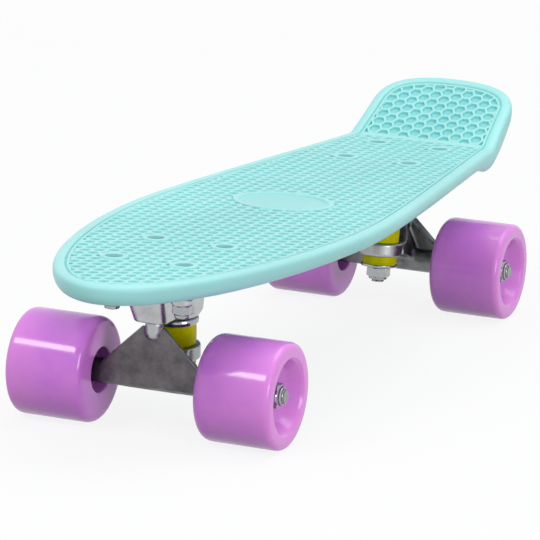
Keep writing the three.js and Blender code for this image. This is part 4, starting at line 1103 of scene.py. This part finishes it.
def hanger_field(x, y, z):
    """Distance field of a hanger: triangular front plate with a drafted edge, axle arms with round
    ends, a neck that flares downwards, the bushing ring with its bore, and the pivot stem. The last
    number of each blend and meet is its fillet's radius."""
    size = HANGER
    half_plate = size["plate"] / 2
    end = np.abs(x) - size["arm_end"]
    draft = size["draft"] * np.maximum(y + HANGER_FACE - size["draft_start"], 0)
    plate = meet(polygon_field(x, z, HANGER_PLATE) + draft,
                 np.abs(y + HANGER_FACE - half_plate) - half_plate, 1.3)
    arm = meet(box_field(y + size["arm_back"], z, *size["arm_half"], 2.4), end, 1.0)
    boss = meet(np.hypot(y, z) - size["boss"], end, 1.0)
    body = blend(plate, blend(arm, boss, 1.0), 0.8)
    fallen = np.clip(size["flare_top"] - z, 0, size["flare_top"])
    flare = np.interp(y, size["flare_at"], size["flare"]) * fallen
    neck = np.abs(x) - np.interp(y, size["neck_at"], size["neck_half"]) - flare
    body = blend(body, meet(polygon_field(y, z, NECK_SIDE), neck, 2.2), 2.6)
    off, height = into_kingpin(x, y, z)
    body = blend(body, meet(off - size["ring"], np.abs(height) - size["ring_half"], 1.3), 1.8)
    bevel = (-HANGER_FACE - y - z + HANGER_PLATE[3][1]) * math.sqrt(0.5) + size["bevel"]
    body = meet(meet(body, -HANGER_FACE - y, 0.7), bevel, 0.3)
    tall = np.clip(z, size["stem_foot"], PIVOT["height"])
    stem = np.sqrt(x ** 2 + (y + PIVOT["reach"]) ** 2 + (z - tall) ** 2) - np.interp(
        z, size["stem_at"], size["stem"])
    return meet(blend(body, stem, 0.7), -(off - size["bore"]), 0.6)


def between(value, low, high):
    """Distance outside a band of a coordinate."""
    return np.abs(value - (low + high) / 2) - (high - low) / 2


def baseplate_field(x, y, z):
    """Distance field of a baseplate: flange with bolt bosses, a tapered pivot block with its cup
    pocket, the cone of the kingpin housing and the web between them. The block's sizes are (at its
    bottom, more at its top), and the last number of each blend and meet is its fillet's radius."""
    size = BASEPLATE
    behind = y - BOLTS["shift"]
    flange = meet(box_field(x, behind, size["half_width"], size["half_length"], size["corner"]),
                  between(z, *size["flange"]), 1.2)
    off = np.hypot(np.abs(x) - BOLTS["across"] / 2, behind + BOLTS["along"] / 2)
    body = blend(flange, meet(off - size["boss"], between(z, *size["boss_span"]), 0.8), 1.4)
    share = np.clip((z - size["block_span"][0]) / size["block_rise"], 0, 1)
    half, front, back = (size[key][0] + size[key][1] * share
                         for key in ("block_half", "block_front", "block_back"))
    block = meet(np.abs(x) - half, between(y, front, back), 5.0)
    body = blend(body, meet(block, between(z, *size["block_span"]), 1.2), 2.0)
    off, height = into_kingpin(x, y, z)
    cone = np.interp(height, size["cone_at"], size["cone"])
    body = blend(body, meet(off - cone, between(height, *size["cone_span"]), 1.1), 2.0)
    web = meet(box_field(x, y - size["web_middle"], *size["web_half"], 2.0),
               between(z, *size["web_span"]), 1.5)
    body = meet(blend(body, web, 3.0), z - size["flange"][1], 0.8)
    cup = np.maximum(np.hypot(x, y + PIVOT["reach"]) - size["cup"], z - size["cup_top"])
    return meet(meet(body, -cup, 0.6), -(off - size["bore"]), 0.4)


def cast_pieces(name, finish, field, box, bodies):
    """The same casting on both trucks: the field's skin inside a box of (low, high) corners."""
    shape = skin(field, *box, bpy.context.scene.skateboard_truck.grain / MM)
    for end in ENDS:
        node = f"{end}_{name}"
        mesh = make_mesh(node, [placed(shape, truck_place(end))])
        dress(mesh, f"{node}_casting", finish, bodies[end], (node,), crease=50)


AXLE_BODIES = {"front": "front_axle_body", "rear": "rear_axle_body"}
HANGER_BOX = (-41.3, -11.2, -8.3), (41.3, 40.7, 43.1)
BASEPLATE_BOX = (-29.3, -25.2, 28.2), (29.3, 48.1, 59.3)


class SKATEBOARD_OT_hangers(bpy.types.Operator):
    """Cast hangers of both trucks"""

    bl_idname = "skateboard.hangers"
    bl_label = "Hangers"

    def execute(self, context):
        cast_pieces("hanger", "hanger", hanger_field, HANGER_BOX, AXLE_BODIES)
        return {"FINISHED"}


class SKATEBOARD_OT_baseplates(bpy.types.Operator):
    """Cast baseplates of both trucks"""

    bl_idname = "skateboard.baseplates"
    bl_label = "Baseplates"

    def execute(self, context):
        cast_pieces("baseplate", "casting", baseplate_field, BASEPLATE_BOX, dict.fromkeys(ENDS, "board"))
        return {"FINISHED"}


# Kingpin stack


def threads(start, end, radius, pitch=1.25, depth=0.5, sides=48):
    """A threaded rod about +Z: radius falls by a triangle wave of height / pitch minus angle / full
    turn, and both ends taper in over one pitch."""
    height = np.arange(start, end + pitch / 12, pitch / 6)
    height[-1] = end
    phase = (height[:, None] / pitch - angles(sides)[None] / (2 * math.pi)) % 1
    wave = np.abs(phase * 2 - 1) * depth
    taper = np.clip(np.minimum(height - start, end - height) / pitch, 0, 1)
    rows = around(radius - wave * np.minimum(1, taper + 0.2)[:, None] - (1 - taper)[:, None] * depth, height)
    poles = [np.repeat([[[0, 0, z]]], sides, axis=1) for z in (start, end)]
    rows = np.concatenate([poles[0], rows, poles[1]])
    return rows.reshape(-1, 3), grid_faces(len(rows), sides, False, True)


# Width across flats, height, collar's radius and height, and bore
NUTS = {
    "kingpin": (12.8, 6.0, 5.7, 1.6, 4.35), "axle": (12.7, 7.2, 5.4, 1.8, 4.05),
    "deck": (9.5, 5.0, 4.3, 2.1, 2.5),
}


def lock_nut(flats, height, collar, rise, bore):
    """A locking nut about +Z, seat at zero: a hexagon whose corners are cut by a cone at both ends,
    and a rolled collar on top. Returns the nut and its nylon ring."""
    corner = flats / math.sqrt(3)
    bevel = flats * 0.07
    washer = flats * 0.485
    top = height + rise
    nut = turned([
        (bore, 0, np.inf), (washer, 0, np.inf), (corner - 0.15, bevel * 0.6, flats), (corner, bevel, flats),
        (corner, height - bevel, flats), (corner - 0.2, height - bevel * 0.6, flats),
        (washer, height, np.inf), (collar + 0.35, height + 0.02, np.inf), (collar, height + 0.3, np.inf),
        (collar, height + rise * 0.6, np.inf), (collar - 0.25, height + rise * 0.88, np.inf),
        (collar - 0.8, top, np.inf), (collar - 1.2, top - 0.25, np.inf), (collar - 1.3, top - 1.0, np.inf),
        (bore, top - 1.0, np.inf),
    ], 96)
    ring = turned(rounded([(bore - 0.1, top - 1.2, 0), (collar - 1.2, top - 1.2, 0),
                           (collar - 1.2, top - 0.55, 0.2), (bore - 0.1, top - 0.55, 0.2)]), 64)
    return nut, ring


def fit_nut(node, insert, kind, body, place):
    """A locking nut instead of its node, and its nylon ring as a piece of its own."""
    nut, ring = lock_nut(*NUTS[kind])
    stand_in(node, "nickel", body, place, nut)
    dress(make_mesh(insert, [placed(ring, place)]), insert, "nylon", body)


FLIP = Matrix.Rotation(math.pi, 4, "X")
# Half sections of the turned pieces, as corners of (radius, height, corner's radius)
SECTIONS = {
    "top_bushing": [(5.6, -3.4, 0), (7.6, -3.4, 0.4), (7.6, 0, 0), (10.9, 0, 0.9), (11.15, 7.3, 12),
                    (10.8, 14.6, 0.9), (5.6, 14.6, 0)],
    "bottom_bushing": [(5.6, -3.4, 0), (7.6, -3.4, 0.4), (7.6, 0, 0), (10.9, 0, 0.9), (10.7, 3.0, 6),
                       (10.1, 6.2, 0.9), (5.6, 6.2, 0)],
    "top_washer": [(4.35, 0, 0.3), (8.6, 0, 2), (11.9, -0.5, 1.5), (12.4, -2.2, 0.8), (12.35, -4.1, 0.4),
                   (11.45, -4.1, 0.4), (11.35, -2.3, 0.4), (8.3, -1.9, 2), (4.35, -1.9, 0)],
    "bottom_washer": [(4.35, 0, 0.3), (7.6, 0, 2), (10.9, -0.4, 1.2), (11.4, -1.2, 0.6),
                      (11.4, -2.0, 0.3), (10.6, -2.0, 0.3), (10.5, -1.4, 0.3), (7.6, -1.1, 1.5),
                      (4.35, -1.1, 0)],
    "pivot_cup": [(0, 42.1, 0), (6.0, 42.1, 0.8), (6.0, 33.1, 0.3), (5.55, 33.1, 0.2), (4.85, 36.5, 1),
                  (3.7, 39.8, 1), (2.4, 40.95, 0.5), (0, 40.95, 0)],
}
# Finish of each piece on the kingpin, its seat's height from the ring's centre, and its turn
STACK = {
    "top_bushing": ("bushing", 4.1, Matrix()),
    "bottom_bushing": ("bushing", -4.1, FLIP),
    "top_washer": ("nickel", KINGPIN["washer_top"], Matrix()),
    "bottom_washer": ("nickel", KINGPIN["nut_seat"] + 0.1, FLIP),
}
# Heights from the ring's centre where a bushing is held by the board's washer, and by the ring
BUSHING_BEND = {"top_bushing": (16.0, 4.6), "bottom_bushing": (-9.3, -4.6)}


class SKATEBOARD_OT_kingpins(bpy.types.Operator):
    """Kingpins, bushings, cup washers and nuts of both trucks, and the pivot cups"""

    bl_idname = "skateboard.kingpins"
    bl_label = "Kingpin stacks"

    def execute(self, context):
        radius, tip, top = (KINGPIN[key] for key in ("radius", "tip", "top"))
        end_of_thread = tip + KINGPIN["thread"]
        start = end_of_thread - KINGPIN["overlap"]
        shank = turned([(0, start), (radius - KINGPIN["neck"], start), (radius, start + KINGPIN["neck_rise"]),
                        (radius, top), (0, top)], 48)
        thread = threads(tip, end_of_thread, radius + KINGPIN["proud"])
        cup = turned(rounded(SECTIONS["pivot_cup"]), 56)
        for end, body in AXLE_BODIES.items():
            place = truck_place(end) @ kingpin_place()
            for node, (finish, height, turn) in STACK.items():
                bends = node in BUSHING_BEND
                shape = turned(rounded(SECTIONS[node], 9 if bends else 5), 80)
                piece = stand_in(f"{end}_{node}", finish, None if bends else "board",
                                 place @ raised(height) @ turn, shape)
                if bends:
                    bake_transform(piece)
            node = f"{end}_kingpin_nut"
            fit_nut(node, f"{node}_insert", "kingpin", "board", place @ raised(KINGPIN["nut_seat"]) @ FLIP)
            stand_in(f"{end}_kingpin", "zinc", "board", place, shank, thread)
            move = truck_place(end) @ Matrix.Translation((0, -PIVOT["reach"], 0))
            stand_in(f"{end}_pivot_cup", "pivot", "board", move, cup)
        return {"FINISHED"}


# Wheels


HUB = {
    "seat": 11.1, "core": 9.3, "recess": 12.0, "inner_start": -14.7, "inner_end": -7.7,
    "outer_start": 2.3, "outer_end": 9.3, "nut_seat": 10.4, "edge": 5.6,
}
SLEEVE = [
    (4.1, -15.7, 0), (6.0, -15.7, 0.2), (6.0, HUB["inner_end"], 0.2), (5.2, HUB["inner_end"], 0),
    (5.2, HUB["outer_start"], 0), (6.0, HUB["outer_start"], 0.2), (6.0, HUB["outer_end"] + 0.02, 0.2),
    (5.9, HUB["outer_end"] + 0.05, 0.1), (5.9, 10.3, 0.2), (4.1, 10.3, 0.1),
]


def wheel_profile(radius, half, dish):
    """Half section of a wheel from its core out: bearing seats, inboard recess, inboard lip, running
    surface with rounded shoulders, outboard lip, and the concave cone down to the bearing."""
    core, seat, recess, edge = (HUB[key] for key in ("core", "seat", "recess", "edge"))
    inner_start, inner_end = HUB["inner_start"] - 0.1, HUB["inner_end"] + 0.1
    outer_start, outer_end = HUB["outer_start"] - 0.1, HUB["outer_end"] + 0.25
    return rounded([
        (core, inner_end, 0), (seat, inner_end, 0), (seat, inner_start, 0), (recess, inner_start, 0),
        (recess + 0.6, -half, 1.2), (radius, -half, edge), (radius, half, edge), (dish, half, 1.2),
        (dish - 1.6, half - 1.6, 2.5), (16.4, half - 8.4, 9), (12.6, HUB["outer_end"] + 1.6, 3),
        (11.9, outer_end, 0.4), (seat, outer_end, 0), (seat, outer_start, 0), (core, outer_start, 0),
    ], 9)


# Half section of a bearing as (radius, dip below its open side, corner's radius); the first two lie on
# its buried side
BEARING = [(6.3, None, 0), (11.0, None, 0.5), (11.0, 0, 0.6), (9.7, 0, 0.3), (9.45, 0.7, 0.2),
           (8.6, 0.35, 0.6), (7.2, 0.35, 0.4), (6.3, 0.75, 0.2)]


def bearing(buried, open_side):
    """Outer race with a chamfer and its pressed shield, which dips in and has a rolled inner edge."""
    out = math.copysign(1, open_side - buried)
    return turned(rounded([(radius, buried if dip is None else open_side - out * dip, corner)
                           for radius, dip, corner in BEARING]), 80)


class SKATEBOARD_OT_wheels(bpy.types.Operator):
    """Wheels, bearings, axle sleeves and locking nuts at the four corners"""

    bl_idname = "skateboard.wheels"
    bl_label = "Wheels"

    def execute(self, context):
        wheel = context.scene.skateboard_wheel
        profile = wheel_profile(wheel.radius / MM, wheel.width / MM / 2, wheel.dish / MM)
        turning = {
            "wheel": ("wheel", turned(profile, wheel.sides)),
            "inner_bearing": ("ground", bearing(HUB["inner_end"], HUB["inner_start"])),
            "outer_bearing": ("ground", bearing(HUB["outer_start"], HUB["outer_end"])),
        }
        sleeve = turned(rounded(SLEEVE), 64)
        for end, body in AXLE_BODIES.items():
            for side in SIDES:
                label = f"{end}_{side}"
                place = wheel_place(end, side)
                for node, (finish, shape) in turning.items():
                    stand_in(f"{label}_{node}", finish, f"{label}_wheel_body", place, shape)
                stand_in(f"{label}_axle_sleeve", "nickel", body, place, sleeve)
                fit_nut(f"{label}_axle_nut", f"{label}_nut_insert", "axle", body,
                        place @ raised(HUB["nut_seat"]))
        return {"FINISHED"}


AXLE = {"radius": 3.95, "thread": 10.0, "overlap": 0.2, "pitch": 1.0, "thread_depth": 0.4,
        "neck": 0.05, "neck_rise": 0.5}


class SKATEBOARD_OT_axles(bpy.types.Operator):
    """Axles with threaded ends"""

    bl_idname = "skateboard.axles"
    bl_label = "Axles"

    def execute(self, context):
        radius, length = AXLE["radius"], AXLE["thread"] + AXLE["overlap"]
        neck, rise = radius - AXLE["neck"], AXLE["neck_rise"]
        for end, body in AXLE_BODIES.items():
            node = f"{end}_axle"
            low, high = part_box(node)
            reach = (high - low)[0] / 2 / MM
            plain = reach - AXLE["thread"]
            rod = turned([(0, -plain), (neck, -plain), (radius, rise - plain), (radius, plain - rise),
                          (neck, plain), (0, plain)], 48)
            tips = [threads(start, start + length, radius, AXLE["pitch"], AXLE["thread_depth"])
                    for start in (reach - length, -reach)]
            place = truck_place(end) @ Matrix.Rotation(math.pi / 2, 4, "Y")
            stand_in(node, "zinc", body, place, rod, *tips)
        return {"FINISHED"}


# Head of a deck bolt and its socket, as (radius, height from the top, width across flats)
BOLT_HEAD = [
    (0, -2.2, np.inf), (3.2, -2.2, 3.2), (3.2, -0.15, 3.2), (2.1, 0, np.inf), (4.1, 0, np.inf),
    (4.3, -0.15, np.inf), (4.3, -0.4, np.inf), (2.4, -2.6, np.inf),
]
BOLT_THREAD = {"length": 9.0, "overlap": 0.4, "radius": 2.4, "pitch": 0.8, "depth": 0.3}


class SKATEBOARD_OT_deck_bolts(bpy.types.Operator):
    """Deck bolts with hexagon sockets, and their locking nuts"""

    bl_idname = "skateboard.deck_bolts"
    bl_label = "Deck bolts"

    def execute(self, context):
        length, overlap, *form = BOLT_THREAD.values()
        for index, (x, y) in enumerate(bolt_places(), 1):
            node = f"deck_bolt_{index}"
            low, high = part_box(node)
            head, foot = high[2] / MM, low[2] / MM
            plain = foot + length
            rows = [(radius, head + along, flats) for radius, along, flats in BOLT_HEAD]
            bolt = turned([*rows, (form[0], plain, np.inf), (0, plain, np.inf)], 48)
            place = Matrix.Translation((x, y + MID_BOARD, 0))
            stand_in(node, "zinc", "board", place, bolt, threads(foot, plain + overlap, *form, 32))
            node = f"deck_nut_{index}"
            seat = place @ raised(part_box(node)[1][2] / MM) @ FLIP
            fit_nut(node, f"{node}_insert", "deck", "board", seat)
        return {"FINISHED"}


# Stage

CAMERA_PLACE = (841.34, -2056.05, 555.31)
PRINCIPAL_PIXEL = (271.76, 274.65)
FRAME_PIXELS = 540
SENSOR_MM = 36
CAMERA_REACH = 50
FLOOR_REACH = 12
# Each light's place, target, size and power
LIGHTS = {
    "key_light": ((-0.83, -1.45, 1.52), (0, 0, 0.08), (0.9, 0.35), 12.5),
    "top_light": ((0.3, 0.4, 1.9), (0, 0, 0.08), (1.4, 1.4), 14),
    "side_light": ((1.8, -1.0, 0.55), (0.05, -0.1, 0.05), (0.8, 0.8), 12),
}


def area_light(name, place, target, size, power):
    """A soft rectangular light aimed at a point; size is its width and height."""
    lamp = bpy.data.lights.new(name, "AREA")
    lamp.shape = "RECTANGLE"
    lamp.size, lamp.size_y = size
    lamp.energy = power
    light = bpy.data.objects.new(name, lamp)
    light.location = place
    light.rotation_euler = (Vector(target) - Vector(place)).to_track_quat("-Z", "Y").to_euler()
    bpy.context.scene.collection.objects.link(light)


def background_rays(tree):
    """One for rays that show the background: from the camera, or by way of metal or glass."""
    seen = add_node(tree, "ShaderNodeLightPath", output="Is Camera Ray")
    for ray in ("Is Glossy Ray", "Is Transmission Ray"):
        ray = add_node(tree, "ShaderNodeLightPath", output=ray)
        seen = add_node(tree, MATHS, {0: seen, 1: ray}, operation="MAXIMUM")
    return seen


def paper_backdrop(colour):
    """Floor: matt paper. It lights the object as a mid grey, and rays that show the background see it
    pale and glowing, the more so further off, with the object's shadow on it."""
    material, tree, shader = new_material("paper_backdrop", {"Roughness": 0.9})
    seen = background_rays(tree)
    tone = add_node(tree, MIX, {0: seen, 6: srgb("#A4A4A4"), 7: colour}, 2, data_type="RGBA")
    tree.links.new(tone, shader.inputs["Base Color"])
    place = add_node(tree, "ShaderNodeTexCoord", output="Object")
    away = add_node(tree, "ShaderNodeVectorMath", {0: place}, "Value", operation="LENGTH")
    share = add_node(tree, RANGE, {
        "Value": away, "From Min": 0.5, "From Max": 2.5, "To Min": 0.86, "To Max": 1.0})
    lift = add_node(tree, MATHS, {0: seen, 1: share}, operation="MULTIPLY")
    glow = add_node(tree, "ShaderNodeEmission", {"Color": srgb("#FFFFFF"), "Strength": 1.0})
    paper = add_node(tree, "ShaderNodeMixShader", {0: lift, 1: shader.outputs[0], 2: glow})
    output = next(node for node in tree.nodes if node.type == "OUTPUT_MATERIAL")
    tree.links.new(paper, output.inputs["Surface"])
    return material


def studio_world():
    """World: an even pale room, plain white for rays that show the background."""
    world = bpy.data.worlds.new("studio")
    world.use_nodes = True
    tree = world.node_tree
    tree.nodes.clear()
    room, white = (add_node(tree, "ShaderNodeBackground", {"Color": srgb(code), "Strength": strength})
                   for code, strength in (("#F3F6FA", 0.52), ("#FFFFFF", 1.0)))
    sky = add_node(tree, "ShaderNodeMixShader", {0: background_rays(tree), 1: room, 2: white})
    add_node(tree, "ShaderNodeOutputWorld", {"Surface": sky})
    return world


def solved_camera(stage):
    """Camera at the photograph's angle: its back points away from the object, by azimuth and height,
    and roll turns its right and up about that."""
    camera = bpy.data.objects.new("camera", bpy.data.cameras.new("camera"))
    bpy.context.scene.collection.objects.link(camera)
    bearing, height, roll = stage.azimuth, stage.elevation, stage.roll
    back = Vector((math.sin(bearing) * math.cos(height), -math.cos(bearing) * math.cos(height),
                   math.sin(height)))
    right = Vector((math.cos(bearing), math.sin(bearing), 0))
    up = back.cross(right)
    across = right * math.cos(roll) + up * math.sin(roll)
    upward = up * math.cos(roll) - right * math.sin(roll)
    place = Vector(CAMERA_PLACE) + Vector((0, MID_BOARD, 0))
    turn = Matrix((across, upward, back)).transposed().to_4x4()
    camera.matrix_world = Matrix.Translation(place * MM) @ turn
    lens = camera.data
    lens.sensor_width = SENSOR_MM
    lens.lens = stage.focal_pixels * SENSOR_MM / FRAME_PIXELS
    lens.shift_x = (FRAME_PIXELS / 2 - PRINCIPAL_PIXEL[0]) / FRAME_PIXELS
    lens.shift_y = (PRINCIPAL_PIXEL[1] - FRAME_PIXELS / 2) / FRAME_PIXELS
    lens.clip_end = CAMERA_REACH
    return camera


class SKATEBOARD_OT_stage(bpy.types.Operator):
    """Pale floor, soft light and a camera at the photograph's angle"""

    bl_idname = "skateboard.stage"
    bl_label = "Stage"

    def execute(self, context):
        scene = context.scene
        stage = scene.skateboard_stage
        scene.view_settings.view_transform = "Standard"
        scene.camera = solved_camera(stage)
        mesh = bpy.data.meshes.new("floor")
        corners = [(-1, -1), (1, -1), (1, 1), (-1, 1)]
        mesh.from_pydata([(x * FLOOR_REACH, y * FLOOR_REACH, 0) for x, y in corners], [], [(0, 1, 2, 3)])
        mesh.materials.append(paper_backdrop(stage.floor))
        floor = bpy.data.objects.new("floor", mesh)
        scene.collection.objects.link(floor)
        scene.world = studio_world()
        for name, settings in LIGHTS.items():
            area_light(name, *settings)
        return {"FINISHED"}


class SKATEBOARD_PT_panel(bpy.types.Panel):
    """Lists the settings and the pieces in the 3D view's sidebar"""

    bl_idname = "SKATEBOARD_PT_panel"
    bl_label = "Cruiser skateboard"
    bl_space_type = "VIEW_3D"
    bl_region_type = "UI"
    bl_category = "Skateboard"

    def draw(self, context):
        for title, group in GROUPS.items():
            box = self.layout.box()
            box.label(text=title.capitalize())
            settings = getattr(context.scene, f"skateboard_{title}")
            for field in group.__annotations__:
                box.prop(settings, field)
        for operator in OPERATORS:
            self.layout.operator(operator.bl_idname)


GROUPS = {"deck": DeckSettings, "wheel": WheelSettings, "truck": TruckSettings, "stage": StageSettings}
OPERATORS = (
    SKATEBOARD_OT_stage, SKATEBOARD_OT_deck_shell, SKATEBOARD_OT_deck_tread, SKATEBOARD_OT_deck_details,
    SKATEBOARD_OT_baseplates, SKATEBOARD_OT_hangers, SKATEBOARD_OT_kingpins, SKATEBOARD_OT_wheels,
    SKATEBOARD_OT_axles, SKATEBOARD_OT_deck_bolts,
)


def register():
    """Registers the classes and hangs each group of settings on the scene."""
    for title, group in GROUPS.items():
        bpy.utils.register_class(group)
        setattr(bpy.types.Scene, f"skateboard_{title}", PointerProperty(type=group))
    for each in (*OPERATORS, SKATEBOARD_PT_panel):
        bpy.utils.register_class(each)


def unregister():
    """Takes the classes and settings away again."""
    for each in (SKATEBOARD_PT_panel, *reversed(OPERATORS)):
        bpy.utils.unregister_class(each)
    for title, group in GROUPS.items():
        delattr(bpy.types.Scene, f"skateboard_{title}")
        bpy.utils.unregister_class(group)


def main():
    """Registers the add-on and builds every piece."""
    register()
    bpy.ops.skateboard.stage()
    bpy.ops.skateboard.deck_shell()
    bpy.ops.skateboard.deck_tread()
    bpy.ops.skateboard.deck_details()
    bpy.ops.skateboard.baseplates()
    bpy.ops.skateboard.hangers()
    bpy.ops.skateboard.kingpins()
    bpy.ops.skateboard.wheels()
    bpy.ops.skateboard.axles()
    bpy.ops.skateboard.deck_bolts()


if __name__ == "__main__":
    main()
